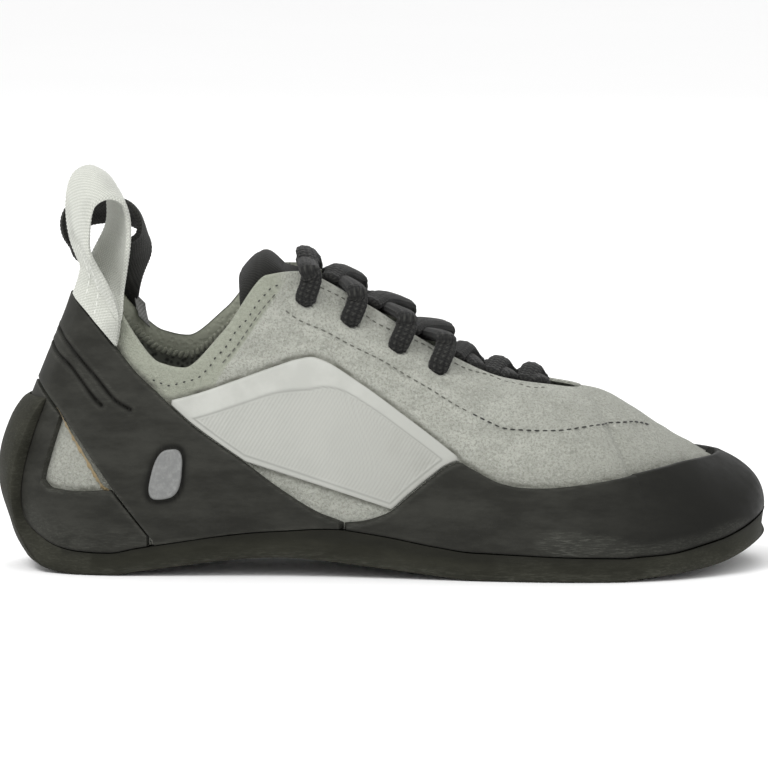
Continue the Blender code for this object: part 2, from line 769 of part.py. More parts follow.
def panel_high(station, lift):
    return rise_of_edge(panel_top, station)


def build_side_panel(name, side):
    lift = LAYER_GAP
    start = find_rise(
        lambda s: skin(s * side, panel_high(s * side, lift))[2]
        - skin(s * side, panel_low(s * side, lift))[2] - BLUNT_END,
        *PANEL_STARTS,
    )
    end = find_rise(
        lambda s: skin(s * side, panel_low(s * side, lift))[2]
        - skin(s * side, panel_high(s * side, lift))[2] + BLUNT_END,
        *PANEL_ENDS,
    )
    stations = [side * s for s in stations_between(start, end)]
    return overlay(name, stations, panel_low, panel_high, lift, PANEL_THICKNESS, 5, PANEL)


# Tongue
def tongue_bridge(reach, lift, arch, share):
    """A point of the tongue between the edges of the throat, share 0 on the outer side."""
    ends = []
    handles = []
    for station in (-reach, reach):
        end = on_last(station, 0.99, lift)
        pull = end - on_last(station, 0.90, lift)
        ends.append(end)
        handles.append(pull / np.linalg.norm(pull))
    span = np.linalg.norm(ends[1] - ends[0]) * arch
    rest = 1.0 - share
    point = rest**3 * ends[0] + 3 * rest * rest * share * (ends[0] + handles[0] * span)
    return point + 3 * rest * share * share * (ends[1] + handles[1] * span) + share**3 * ends[1]


def tongue_row(reach, lift, arch):
    """One row across the tongue: inside the wall at both sides, and arched over the throat."""
    row = [on_last(-reach, rise, lift) for rise in (0.80, 0.90)]
    row += [tongue_bridge(reach, lift, arch, k / 6) for k in range(7)]
    return row + [on_last(reach, rise, lift) for rise in (0.90, 0.80)]


def tongue_arch(reach):
    """The laces press the tongue down; above them it springs up."""
    return between(0.34, 0.05, ramp(reach, THROAT_TOP - 0.7, THROAT_TOP + 0.3))


def build_tongue():
    outer_lift = -(UPPER_WALL + SOFT_GAP)
    outer = []
    inner = []
    for reach in stations_between(TONGUE_START, TONGUE_END):
        arch = tongue_arch(reach)
        outer.append(tongue_row(reach, outer_lift, arch))
        inner.append(tongue_row(reach, outer_lift - TONGUE_THICKNESS, arch))
    return solid("tongue", *sheet_between(outer, inner), DARK_CLOTH)


# Laces
def through(points, count):
    """Evenly read places of a smooth curve through a few points."""
    padded = [2 * points[0] - points[1]] + list(points) + [2 * points[-1] - points[-2]]
    path = []
    for i in range(count + 1):
        place = i / count * (len(points) - 1)
        k = min(len(points) - 2, int(place))
        f = place - k
        p, q, r, s = padded[k:k + 4]
        path.append(q + 0.5 * f * (r - p + f * (2 * p - 5 * q + 4 * r - s + f * (3 * (q - r) + s - p))))
    return path


def lace_tube(path, up_hints):
    """Points and faces of an oval tube along a path."""
    points = []
    for i, centre in enumerate(path):
        ahead = path[min(i + 1, len(path) - 1)] - path[max(i - 1, 0)]
        ahead = ahead / np.linalg.norm(ahead)
        across = np.cross(up_hints[i], ahead)
        across = across / np.linalg.norm(across)
        up = np.cross(ahead, across)
        for j in range(LACE_SIDES):
            angle = 2 * math.pi * j / LACE_SIDES
            swing = across * math.cos(angle) * LACE_WIDTH / 2 + up * math.sin(angle) * LACE_THICKNESS / 2
            points.append(centre + swing)
    faces = []
    for first in range(0, (len(path) - 1) * LACE_SIDES, LACE_SIDES):
        for j in range(LACE_SIDES):
            k = (j + 1) % LACE_SIDES
            faces.append((first + j, first + k, first + LACE_SIDES + k, first + LACE_SIDES + j))
    faces.append(tuple(range(LACE_SIDES))[::-1])
    faces.append(tuple((len(path) - 1) * LACE_SIDES + j for j in range(LACE_SIDES)))
    return points, faces


def eyelet_rise(station):
    """The rise of an eyelet, a fixed way down from the throat edge."""
    edge = skin(station, 1.0)
    return find_rise(lambda rise: EYELET_DROP - np.linalg.norm(skin(station, rise) - edge), 0.5, 0.999)


def throat_station(x):
    """The station whose throat edge lies at x."""
    return find_rise(lambda reach: top_x(reach) - x, 5.0, float(TIP))


def above_tongue(x, share, lift):
    reach = throat_station(x)
    point = tongue_bridge(reach, -(UPPER_WALL + SOFT_GAP), tongue_arch(reach), share)
    return point + np.array((0.0, 0.0, lift))


def lace_path(x, lean, from_side, lift_more, over_edge):
    """From inside one throat edge over the tongue and the other edge down to the eyelet."""
    clear = LACE_THICKNESS / 2 + LACE_CLEAR
    station = -from_side * throat_station(x)
    start = above_tongue(x - lean, 0.5 + from_side * LACE_START, clear)
    middle = above_tongue(x - lean / 2, 0.5, clear + lift_more)
    if over_edge:
        down = eyelet_rise(station)
        ends = [
            on_last(station, 0.99, LACE_THICKNESS / 2 + LACE_EDGE_CLEAR),
            on_last(station, between(0.99, down, 0.5), LACE_THICKNESS / 2 + LACE_EDGE_CLEAR),
            on_last(station, down, clear),
        ]
    else:
        ends = [above_tongue(x, 0.5 - from_side * LACE_START, clear)]
    path = through([start, middle] + ends, LACE_STEPS)
    up = np.array((0.3, 0.0, 1.0))
    side_up = normal_at(station, 0.9)
    hints = [between(up, side_up, ramp(i / LACE_STEPS, 0.35, 0.8)) for i in range(LACE_STEPS + 1)]
    return path, hints


def build_lace_row(number, row):
    """Two strands that cross over the tongue, joined where they press on each other."""
    name = f"lace_row_{number}"
    x = row.along * LENGTH
    lean = row.lean * LENGTH
    low_path, low_hints = lace_path(x, lean, 1, 0.0, row.over_edge)
    high_path, high_hints = lace_path(x, lean, -1, LACE_THICKNESS * 0.7, row.over_edge)
    strand = solid(name, *lace_tube(low_path, low_hints), DARK_CLOTH)
    other = solid(name + "_over", *lace_tube(high_path, high_hints), DARK_CLOTH)
    other.hide_render = True
    other.display_type = "WIRE"
    join = strand.modifiers.new("join", "BOOLEAN")
    join.operation = "UNION"
    join.solver = "EXACT"
    join.object = other
    return strand


# Pull loops
def loop_line(shape, offset):
    """Half a loop from its foot to its top: the strap's middle line moved out by an offset."""
    spread = (shape.spread - WEBBING_THICKNESS) / 2
    rise = shape.rise - WEBBING_THICKNESS / 2
    foot = WEBBING_THICKNESS / 2 + LAYER_GAP
    line = [np.array((foot + wide * spread, high * rise)) for high, wide in LOOP_LINE]
    line[-1][0] = 0.0
    moved = []
    for i, point in enumerate(line):
        ahead = line[min(i + 1, len(line) - 1)] - line[max(i - 1, 0)]
        if i in (0, len(line) - 1):
            ahead = np.array((0.0, 1.0) if i == 0 else (-1.0, 0.0))
        ahead = ahead / np.linalg.norm(ahead)
        moved.append(point + np.array((ahead[1], -ahead[0])) * offset)
    return moved


def level_normal(station):
    """Outward direction at the collar, without its rise."""
    normal = normal_at(station, 0.95) * np.array((1.0, 1.0, 0.0))
    return normal / np.linalg.norm(normal)


def strap_place(shape, share, half, height):
    """A point of a free strap: it leaves the collar's curve and flattens as it rises."""
    middle = (shape.first + shape.last) / 2
    station = between(shape.first, shape.last, share)
    off_collar = GAP + SOFT_GAP + WEBBING_THICKNESS
    rim = skin(station, 1.0)
    centre = skin(middle, 1.0)
    angle = math.radians(shape.facing)
    facing = np.array((-math.cos(angle), -math.sin(angle), 0.0))
    across = np.array((-facing[1], facing[0], 0.0)) * side_of(-middle)
    curved = rim + level_normal(station) * (off_collar + half)
    flat = centre + level_normal(middle) * off_collar + facing * half + across * (share - 0.5) * WEBBING_WIDTH
    flat[2] = between(centre[2], rim[2], 0.55)
    point = between(curved, flat, ramp(height / shape.rise, 0.06, 0.50))
    point[2] += height
    return point


def strap_ring(shape, share):
    """Outline of the strap and of the hole in its loop, at one place across its width."""
    station = between(shape.first, shape.last, share)
    rings = []
    for offset in (WEBBING_THICKNESS / 2, -WEBBING_THICKNESS / 2):
        line = loop_line(shape, offset)
        front = [strap_place(shape, share, half, height) for half, height in line]
        rear = [strap_place(shape, share, -half, height) for half, height in line[:-1]]
        rings.append(front + rear[::-1])
    edge = sling_high(station, 0.0) + 1.5 * edge_gap(station)
    stem = [between(edge, 0.985, i / STEM_ROWS) for i in range(STEM_ROWS)]
    clear = GAP + SOFT_GAP
    outside = [on_last(station, rise, clear + 2 * WEBBING_THICKNESS) for rise in stem]
    inside = [on_last(station, rise, clear) for rise in stem]
    return outside + rings[0] + inside[::-1], rings[1]


def build_pull_loop(name, shape, finish):
    """A strap sewn flat outside the collar, rising into an open loop."""
    points = []
    for j in range(LOOP_ACROSS + 1):
        outline_ring, hole_ring = strap_ring(shape, j / LOOP_ACROSS)
        points += outline_ring + hole_ring
    outer = len(outline_ring)
    hole = len(hole_ring)
    size = outer + hole
    faces = []
    for first in range(0, LOOP_ACROSS * size, size):
        for k in range(outer):
            m = (k + 1) % outer
            faces.append((first + k, first + m, first + size + m, first + size + k))
        for k in range(hole):
            a, b = outer + k, outer + (k + 1) % hole
            faces.append((first + b, first + a, first + size + a, first + size + b))
    for base in (0, LOOP_ACROSS * size):
        strap = base + STEM_ROWS
        inner = base + outer
        for k in range(hole - 1):
            faces.append((strap + k, strap + k + 1, inner + k + 1, inner + k))
        faces.append((strap, inner, inner + hole - 1, strap + hole - 1))
        for k in range(STEM_ROWS):
            faces.append((base + k, base + k + 1, inner - 2 - k, inner - 1 - k))
    return solid(name, points, faces, finish)


# Badge
def build_badge():
    """A plain rounded plate on the outer side of the sling."""
    lift = LAYER_GAP + RAND_THICKNESS + GAP
    points = []
    for height in (lift + BADGE_THICKNESS, lift):
        points.append(on_last(*BADGE_MIDDLE, height))
        for scale in (0.5, 1.0):
            for k in range(BADGE_SIDES):
                angle = 2 * math.pi * k / BADGE_SIDES
                bulge = scale * (abs(math.cos(angle)) ** 3 + abs(math.sin(angle)) ** 3) ** (-1 / 3)
                station = BADGE_MIDDLE[0] + BADGE_HALF[0] * bulge * math.cos(angle)
                rise = BADGE_MIDDLE[1] + BADGE_HALF[1] * bulge * math.sin(angle)
                points.append(on_last(station, rise, height))
    back = len(points) // 2
    faces = []
    for k in range(BADGE_SIDES):
        a, b = 1 + k, 1 + (k + 1) % BADGE_SIDES
        c, d = a + BADGE_SIDES, b + BADGE_SIDES
        faces += [(0, a, b), (a, c, d, b)]
        faces += [(back, back + b, back + a), (back + a, back + b, back + d, back + c)]
        faces.append((d, c, back + c, back + d))
    return solid("heel_badge", points, faces, BADGE)


def stand_on_origin():
    """Moves every mesh so that the middle of the shoe's box is over the origin, its sole at zero."""
    corners = [corner.co for made in bpy.data.objects for corner in made.data.vertices]
    lows = [min(co[k] for co in corners) for k in range(3)]
    highs = [max(co[k] for co in corners) for k in range(3)]
    shift = ((lows[0] + highs[0]) / 2, (lows[1] + highs[1]) / 2, lows[2])
    for made in bpy.data.objects:
        for corner in made.data.vertices:
            corner.co = [corner.co[k] - shift[k] for k in range(3)]


def build_shoe():
    for old in list(bpy.data.objects):
        bpy.data.objects.remove(old, do_unlink=True)
    build_outsole()
    build_insole()
    build_upper()
    build_heel_rand()
    build_heel_sling()
    build_toe_rand()
    build_side_panel("side_panel_lateral", -1)
    build_side_panel("side_panel_medial", 1)
    build_tongue()
    for number, row in enumerate(LACE_ROWS, 1):
        build_lace_row(number, row)
    build_pull_loop("pull_loop_light", LIGHT_LOOP, LIGHT_WEBBING)
    build_pull_loop("pull_loop_dark", DARK_LOOP, DARK_CLOTH)
    build_badge()
    stand_on_origin()


build_shoe()
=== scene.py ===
# %% [markdown]
# # A laced climbing shoe, seen from its outer side
# The real shoe is a suede boot pulled tight over a last, then wrapped in bands of dark climbing
# rubber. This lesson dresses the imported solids: each piece is built again with fine relief, from the
# same last, and gets its finish. Every length is in metres, and X is measured from the heel back.

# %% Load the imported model
import json
import math
from collections import namedtuple

import bmesh
import bpy
import numpy as np
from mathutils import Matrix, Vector, noise
from mathutils.kdtree import KDTree

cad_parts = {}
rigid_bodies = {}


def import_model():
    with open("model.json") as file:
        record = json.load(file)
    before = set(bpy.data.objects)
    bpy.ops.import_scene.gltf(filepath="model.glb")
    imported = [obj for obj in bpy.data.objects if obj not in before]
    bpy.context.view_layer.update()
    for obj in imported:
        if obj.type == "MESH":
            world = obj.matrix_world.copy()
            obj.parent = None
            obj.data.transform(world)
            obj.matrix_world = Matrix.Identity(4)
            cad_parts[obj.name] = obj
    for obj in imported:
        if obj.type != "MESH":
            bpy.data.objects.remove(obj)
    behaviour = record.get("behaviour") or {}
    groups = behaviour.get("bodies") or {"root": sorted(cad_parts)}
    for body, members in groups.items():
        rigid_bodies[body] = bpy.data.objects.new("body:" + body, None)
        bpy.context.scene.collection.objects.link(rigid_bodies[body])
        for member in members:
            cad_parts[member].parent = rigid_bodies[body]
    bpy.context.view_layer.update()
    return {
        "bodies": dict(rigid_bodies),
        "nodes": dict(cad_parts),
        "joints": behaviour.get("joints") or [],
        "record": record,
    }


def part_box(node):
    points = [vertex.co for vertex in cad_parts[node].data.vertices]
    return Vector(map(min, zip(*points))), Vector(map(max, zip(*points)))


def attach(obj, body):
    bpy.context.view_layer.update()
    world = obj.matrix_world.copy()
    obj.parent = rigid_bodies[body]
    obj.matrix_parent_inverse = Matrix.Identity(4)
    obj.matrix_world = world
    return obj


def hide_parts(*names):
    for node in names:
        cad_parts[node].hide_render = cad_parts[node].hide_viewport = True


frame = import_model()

MM = 0.001

# %% [markdown]
# ## Camera, floor and light
# A catalogue picture is taken with a long lens from a few degrees above the table, so the shoe shows
# its side almost like a drawing. We use a 300 mm lens far away, aimed by the size of one pixel.

# %% Camera
PIXEL = 0.0003255
PICTURE_SIDE = 768
LOOK_DOWN = math.radians(7.0)
LENS = 300.0
SENSOR = 36.0
AIM = Vector((0.0006, 0.0071, 0.0577))

camera_data = bpy.data.cameras.new("camera")
camera_data.lens = LENS
camera_data.sensor_width = SENSOR
camera_data.clip_end = 50.0
camera = bpy.data.objects.new("camera", camera_data)
bpy.context.scene.collection.objects.link(camera)
bpy.context.scene.camera = camera
back = Vector((0.0, -math.cos(LOOK_DOWN), math.sin(LOOK_DOWN)))
camera.location = AIM + back * (PICTURE_SIDE * PIXEL * LENS / SENSOR)
camera.rotation_euler = (-back).to_track_quat("-Z", "Y").to_euler()
print("camera distance, m:", round((camera.location - AIM).length, 3))

# %% [markdown]
# A shader is a small graph. Two helpers keep the finishes short: one adds a node and joins its
# inputs, the other starts a Principled material. A value that is the same all over stays on the
# shader's own socket, and only what varies over the surface is linked.

# %% Helpers for finishes
def add(tree, kind, values=None, output=0, **settings):
    """Adds a shader node, sets or joins its inputs and gives back one output."""
    made = tree.nodes.new("ShaderNode" + kind)
    for name, value in settings.items():
        setattr(made, name, value)
    for name, value in (values or {}).items():
        if isinstance(value, bpy.types.NodeSocket):
            tree.links.new(value, made.inputs[name])
        else:
            made.inputs[name].default_value = value
    return made.outputs[output]


def new_finish(name, **sockets):
    """A Principled material; its plain sockets are set here."""
    made = bpy.data.materials.new(name)
    made.use_nodes = True
    shader = made.node_tree.nodes["Principled BSDF"]
    for socket, value in sockets.items():
        shader.inputs[socket.replace("_", " ")].default_value = value
    return made, made.node_tree, shader


def darker(shade, share):
    """The same shade, darker or lighter."""
    return tuple(value * share for value in shade)


def place(tree, stretch=(1.0, 1.0, 1.0), turn=(0.0, 0.0, 0.0)):
    """Positions on the piece in metres, stretched or turned for a texture."""
    spot = add(tree, "TexCoord", output="Object")
    return add(tree, "Mapping", {"Vector": spot, "Scale": stretch, "Rotation": turn})


def cloud(tree, scale, detail=4.0, roughness=0.6, stretch=(1.0, 1.0, 1.0), turn=(0.0, 0.0, 0.0)):
    """Soft noise; scale is how many lumps lie in a metre."""
    spot = place(tree, stretch, turn)
    return add(tree, "TexNoise", {"Vector": spot, "Scale": scale, "Detail": detail, "Roughness": roughness})


def span(tree, value, low, high, to_low=0.0, to_high=1.0):
    """Maps a value softly from one range to another."""
    settings = {"Value": value, "From Min": low, "From Max": high, "To Min": to_low, "To Max": to_high}
    return add(tree, "MapRange", settings, interpolation_type="SMOOTHSTEP")


def as_colour(value):
    """Three numbers become an opaque colour; the output of another node stays as it is."""
    return value if isinstance(value, bpy.types.NodeSocket) else (*value, 1.0)


def tint(tree, share, first, second):
    """Mixes two colours."""
    values = {0: share, 6: as_colour(first), 7: as_colour(second)}
    return add(tree, "Mix", values, output=2, data_type="RGBA")


def sum_of(tree, first, second, kind="ADD"):
    return add(tree, "Math", {0: first, 1: second}, operation=kind)


def times(tree, first, second):
    return sum_of(tree, first, second, "MULTIPLY")


def mark(tree, name):
    """A value that was stored on the mesh, such as how worn a place is."""
    return add(tree, "Attribute", attribute_name=name, output="Fac")


def bump(tree, shader, height, distance, strength=1.0):
    values = {"Height": height, "Distance": distance, "Strength": strength}
    tree.links.new(add(tree, "Bump", values), shader.inputs["Normal"])


def colour(tree, shader, value):
    tree.links.new(value, shader.inputs["Base Color"])


def roughness(tree, shader, value):
    tree.links.new(value, shader.inputs["Roughness"])


# %% [markdown]
# A studio has no corners: a pale floor runs into a white world, and large soft lamps give weak shadows.
# One lamp stands in front on the left, one fills from the right and one lights the far edge.

# %% Floor and soft lights
FLOOR_SIZE = 30.0

floor_finish, tree, shader = new_finish("pale_floor", Roughness=0.9)
colour(tree, shader, tint(tree, cloud(tree, 3.0), (0.93, 0.93, 0.93), (0.95, 0.95, 0.95)))
bpy.ops.mesh.primitive_plane_add(size=FLOOR_SIZE, location=(0.0, 0.0, -0.0001))
floor = bpy.context.object
floor.name = "floor"
floor.data.materials.append(floor_finish)

world = bpy.data.worlds.new("studio")
bpy.context.scene.world = world
world.use_nodes = True
world.node_tree.nodes["Background"].inputs["Color"].default_value = (1.0, 1.0, 1.0, 1.0)
world.node_tree.nodes["Background"].inputs["Strength"].default_value = 1.0


def soft_light(name, spot, size, power):
    """A square lamp that looks at the shoe."""
    data = bpy.data.lights.new(name, "AREA")
    data.size = size
    data.energy = power
    lamp = bpy.data.objects.new(name, data)
    lamp.location = spot
    lamp.rotation_euler = (AIM - Vector(spot)).to_track_quat("-Z", "Y").to_euler()
    bpy.context.scene.collection.objects.link(lamp)


bpy.context.scene.view_settings.view_transform = "Standard"
soft_light("key", (-0.7, -0.7, 1.3), 0.7, 13.0)
soft_light("fill", (1.1, -1.0, 0.7), 1.0, 2.0)
soft_light("rim", (0.2, 1.2, 1.0), 0.8, 5.0)
print("lights:", [light.name for light in bpy.data.lights])

# %% [markdown]
# ## The last
# A shoemaker builds everything on the last, the wooden foot. Ours is a row of sections from the heel
# back to the toe tip. A place on it is a station (negative on the outer side) and a rise, from 0 at
# the sole to 1 at the collar, the throat or the ridge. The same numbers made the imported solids.

# %% Sizes
LENGTH = 0.248
HEEL_WIDTH = 0.052
BALL_WIDTH = 0.080
HEEL_HEIGHT = 0.0996
INSTEP_HEIGHT = 0.0988
SOLE_THICKNESS = 0.0075
HEEL_CUP_RISE = 0.0114
ARCH_RISE = 0.0061
TOE_SPRING = 0.0098
SOLE_MARGIN = 0.0004
HEEL_WRAP_HEIGHT = 0.0557
HEEL_WRAP_THICKNESS = 0.0042
HEEL_WRAP_HALF_WIDTH = 1.25
HEEL_THINNING = 0.35
UPPER_WALL = 0.0022
RAND_THICKNESS = 0.0020
PANEL_THICKNESS = 0.0009
BADGE_THICKNESS = 0.0007
TONGUE_THICKNESS = 0.0034
GAP = 0.0003
LAYER_GAP = 0.0006
SOFT_GAP = 0.0006
WEBBING_WIDTH = 0.0190
WEBBING_THICKNESS = 0.0017
LACE_WIDTH = 0.0062
LACE_THICKNESS = 0.0040
LACE_CLEAR = 0.0009
LACE_EDGE_CLEAR = 0.0030
EYELET_DROP = 0.0100
EDGE_ROUND = 0.0012

# %% Sections of the last
Station = namedtuple(
    "Station",
    "along lateral medial low_out low_up high_out high_down fall "
    "top_along top_shift top_gap top_lateral top_medial",
)
LAST = (
    Station(0.038, 0.000, 0.000, 0.159, 0.229, 0.076, 0.348, 0.00, 0.115, 0.000, 0.000, 1.000, 1.000),
    Station(0.044, 0.173, 0.173, 0.142, 0.230, 0.071, 0.342, 0.00, 0.125, 0.000, 0.131, 0.984, 0.984),
    Station(0.062, 0.317, 0.317, 0.118, 0.236, 0.056, 0.336, 0.00, 0.143, 0.000, 0.246, 0.914, 0.919),
    Station(0.095, 0.429, 0.423, 0.100, 0.270, 0.043, 0.327, 0.00, 0.171, 0.000, 0.346, 0.790, 0.823),
    Station(0.145, 0.487, 0.477, 0.092, 0.312, 0.016, 0.345, 0.00, 0.208, 0.000, 0.429, 0.686, 0.743),
    Station(0.222, 0.512, 0.487, 0.087, 0.349, 0.009, 0.349, 0.00, 0.242, 0.000, 0.457, 0.671, 0.726),
    Station(0.306, 0.499, 0.449, 0.077, 0.323, 0.038, 0.323, 0.00, 0.292, 0.000, 0.407, 0.791, 0.822),
    Station(0.395, 0.478, 0.398, 0.062, 0.310, 0.074, 0.310, 0.00, 0.349, 0.000, 0.293, 0.973, 0.979),
    Station(0.484, 0.471, 0.381, 0.061, 0.291, 0.109, 0.254, 0.00, 0.391, 0.004, 0.214, 0.984, 0.984),
    Station(0.573, 0.481, 0.401, 0.059, 0.264, 0.158, 0.211, 0.00, 0.476, 0.007, 0.180, 0.879, 0.879),
    Station(0.661, 0.498, 0.441, 0.055, 0.268, 0.252, 0.142, 0.00, 0.569, 0.010, 0.161, 0.732, 0.732),
    Station(0.742, 0.508, 0.488, 0.055, 0.277, 0.332, 0.101, 0.00, 0.657, 0.013, 0.138, 0.631, 0.631),
    Station(0.806, 0.497, 0.516, 0.058, 0.271, 0.426, 0.058, 0.10, 0.726, 0.017, 0.100, 0.601, 0.601),
    Station(0.863, 0.450, 0.519, 0.051, 0.267, 0.452, 0.021, 0.35, 0.778, 0.025, 0.000, 0.579, 0.579),
    Station(0.907, 0.369, 0.487, 0.059, 0.284, 0.449, 0.000, 0.50, 0.821, 0.044, 0.000, 0.519, 0.519),
    Station(0.944, 0.263, 0.425, 0.073, 0.320, 0.465, 0.000, 0.55, 0.859, 0.069, 0.000, 0.455, 0.455),
    Station(0.970, 0.131, 0.344, 0.090, 0.396, 0.486, 0.000, 0.50, 0.891, 0.094, 0.000, 0.404, 0.404),
    Station(0.984, 0.000, 0.250, 0.111, 0.487, 0.487, 0.000, 0.30, 0.913, 0.113, 0.000, 0.364, 0.364),
    Station(0.989, -0.138, 0.138, 0.120, 0.529, 0.481, 0.000, 0.15, 0.921, 0.125, 0.000, 0.348, 0.348),
)
TIP = len(LAST) - 1
THROAT_TOP = 7.75
THROAT_LAST_ROW = 12
THROAT_END = 12.6


# %% [markdown]
# The curves run through the table without swinging past it. They read whole arrays at once, so a
# piece with sixty thousand points is ready in a moment.

# %% Curves
def ramp(value, start, end):
    """Smooth step from 0 at start to 1 at end."""
    share = np.clip((value - start) / (end - start), 0.0, 1.0)
    return share * share * (3.0 - 2.0 * share)


def close_to(distance, near, far):
    """1 within the near distance of a border, 0 beyond the far one."""
    return ramp(-distance, -far, -near)


def bell(distance, width):
    """1 on a line, falling off softly on both sides."""
    return np.exp(-((distance / width) ** 2))


def between(a, b, share):
    return a + (b - a) * share


def smooth_curve(places, values, flat_ends=False):
    """A curve through the values that never swings past them."""
    places = np.asarray(places, float)
    values = np.asarray(values, float)
    rises = np.diff(values) / np.diff(places)
    slopes = np.zeros(len(values))
    same = rises[:-1] * rises[1:] > 0
    slopes[1:-1][same] = (2 * rises[:-1] * rises[1:])[same] / (rises[:-1] + rises[1:])[same]
    if not flat_ends:
        slopes[0], slopes[-1] = rises[0], rises[-1]

    def read(place):
        place = np.clip(place, places[0], places[-1])
        i = np.clip(np.searchsorted(places, place, side="right") - 1, 0, len(places) - 2)
        width = places[i + 1] - places[i]
        f = (place - places[i]) / width
        start = (1 + 2 * f) * (1 - f) ** 2 * values[i] + f * (1 - f) ** 2 * width * slopes[i]
        return start + f * f * (3 - 2 * f) * values[i + 1] + f * f * (f - 1) * width * slopes[i + 1]

    return read


def side_curve(table, along_size, rise_size, flat_ends=False):
    """A table of shares as a curve in real sizes."""
    table = np.array(table)
    return smooth_curve(table[:, 0] * along_size, table[:, 1] * rise_size, flat_ends)


def ring_curve(lateral, medial):
    """A smooth closed curve over the stations of both sides."""
    ring = np.array([lateral[-k] if k < 0 else medial[k] for k in range(1 - TIP, TIP + 1)])

    def read(station):
        k = np.floor(station).astype(int)
        f = station - k
        p, q, r, s = (ring[(k + shift + TIP - 1) % len(ring)] for shift in (-1, 0, 1, 2))
        return q + 0.5 * f * (r - p + f * (2 * p - 5 * q + 4 * r - s + f * (3 * (q - r) + s - p)))

    return read


def unit(vector):
    return vector / np.linalg.norm(vector, axis=-1, keepdims=True)


# %% Side curves of the sole
THICKNESS_ALONG = (
    (0.02, 0.95), (0.14, 0.95), (0.18, 1.00), (0.28, 1.05), (0.37, 1.15), (0.42, 1.35), (0.45, 1.43),
    (0.50, 1.38), (0.56, 1.25), (0.65, 1.15), (0.73, 1.05), (0.80, 1.00), (0.87, 0.88), (0.93, 1.00),
    (1.01, 1.00),
)
CUP_ALONG = (
    (0.012, 1.360), (0.026, 1.000), (0.038, 0.640), (0.048, 0.470), (0.062, 0.280), (0.075, 0.150),
    (0.100, 0.035), (0.125, 0.000),
)
ARCH_ALONG = (
    (0.145, 0.00), (0.18, 0.21), (0.23, 0.50), (0.285, 0.80), (0.34, 0.98), (0.37, 1.00), (0.415, 0.90),
    (0.47, 0.65), (0.52, 0.42), (0.57, 0.18), (0.615, 0.00),
)
SPRING_ALONG = ((0.81, 0.00), (0.835, 0.09), (0.887, 0.22), (0.93, 0.37), (0.968, 0.65), (1.00, 1.00))

thickness_at = side_curve(THICKNESS_ALONG, LENGTH, SOLE_THICKNESS)
cup_at = side_curve(CUP_ALONG, LENGTH, HEEL_CUP_RISE)
arch_at = side_curve(ARCH_ALONG, LENGTH, ARCH_RISE, True)
spring_at = side_curve(SPRING_ALONG, LENGTH, TOE_SPRING)


def sole_bottom(x):
    return arch_at(x) + spring_at(x)


def sole_top(x):
    return sole_bottom(x) + thickness_at(x) + cup_at(x)


# %% Curves of the last
rows = {name: np.array([getattr(row, name) for row in LAST]) for name in Station._fields}
numbers = np.arange(TIP + 1)


def local_width(along):
    return between(HEEL_WIDTH, BALL_WIDTH, ramp(along, 0.20, 0.75))


def local_height(along):
    return between(HEEL_HEIGHT, INSTEP_HEIGHT, ramp(along, 0.20, 0.38))


widths = local_width(rows["along"])
heights = local_height(rows["top_along"])
foot_x = ring_curve(rows["along"] * LENGTH, rows["along"] * LENGTH)
foot_y = ring_curve(-rows["lateral"] * widths, rows["medial"] * widths)
swell = {
    name: smooth_curve(numbers, rows[name], True)
    for name in ("low_out", "low_up", "high_out", "high_down", "fall")
}
top_x = smooth_curve(numbers, rows["top_along"] * LENGTH, True)
top_shift = smooth_curve(numbers, rows["top_shift"] * widths)
top_gap = smooth_curve(numbers, rows["top_gap"] * widths)
top_lateral = smooth_curve(numbers, rows["top_lateral"] * heights, True)
top_medial = smooth_curve(numbers, rows["top_medial"] * heights, True)


# %% The skin of the last
def throat_gap(reach):
    """Half the opening at the top of a section; the throat closes in a round end."""
    closing = np.clip((reach - THROAT_LAST_ROW) / (THROAT_END - THROAT_LAST_ROW), 0.0, 1.0)
    closed = top_gap(float(THROAT_LAST_ROW)) * np.sqrt(1.0 - closing * closing)
    return np.where(reach <= THROAT_LAST_ROW, top_gap(reach), closed)


def outward(station):
    """Level direction away from the foot, square to the outline of the last."""
    step = 0.02
    dx = foot_x(station + step) - foot_x(station - step)
    dy = foot_y(station + step) - foot_y(station - step)
    return unit(np.stack([-dy, dx, np.zeros_like(dx)], -1))


def section(station):
    """The four points that shape each section of the last, sole to top."""
    reach = np.abs(station)
    side = np.where(station < 0, -1.0, 1.0)
    x = foot_x(station)
    foot = np.stack([x, foot_y(station), sole_top(x) + GAP], -1)
    top_z = np.where(station < 0, top_lateral(reach), top_medial(reach))
    top = np.stack([top_x(reach), top_shift(reach) + side * throat_gap(reach), top_z], -1)
    height = top[..., 2] - foot[..., 2]
    out = outward(station)
    low = foot + out * (swell["low_out"](reach) * height)[..., None]
    low[..., 2] += swell["low_up"](reach) * height
    swing = swell["high_out"](reach)
    high = top + out * (swing * height)[..., None]
    high[..., 2] -= height * (swell["high_down"](reach) + swing * out[..., 0] * swell["fall"](reach))
    return foot, low, high, top


def skin(station, rise):
    """Points on the last."""
    station = np.asarray(station, float)
    rise = np.asarray(rise, float)[..., None]
    foot, low, high, top = section(station)
    rest = 1.0 - rise
    return rest**3 * foot + 3 * rest * rest * rise * low + 3 * rest * rise * rise * high + rise**3 * top


def flat_normal(station, rise):
    step = 0.01
    rise = np.clip(rise, 0.01, 0.985)
    along = skin(station + step, rise) - skin(station - step, rise)
    up = skin(station, rise + step) - skin(station, rise - step)
    return unit(np.cross(up, along))


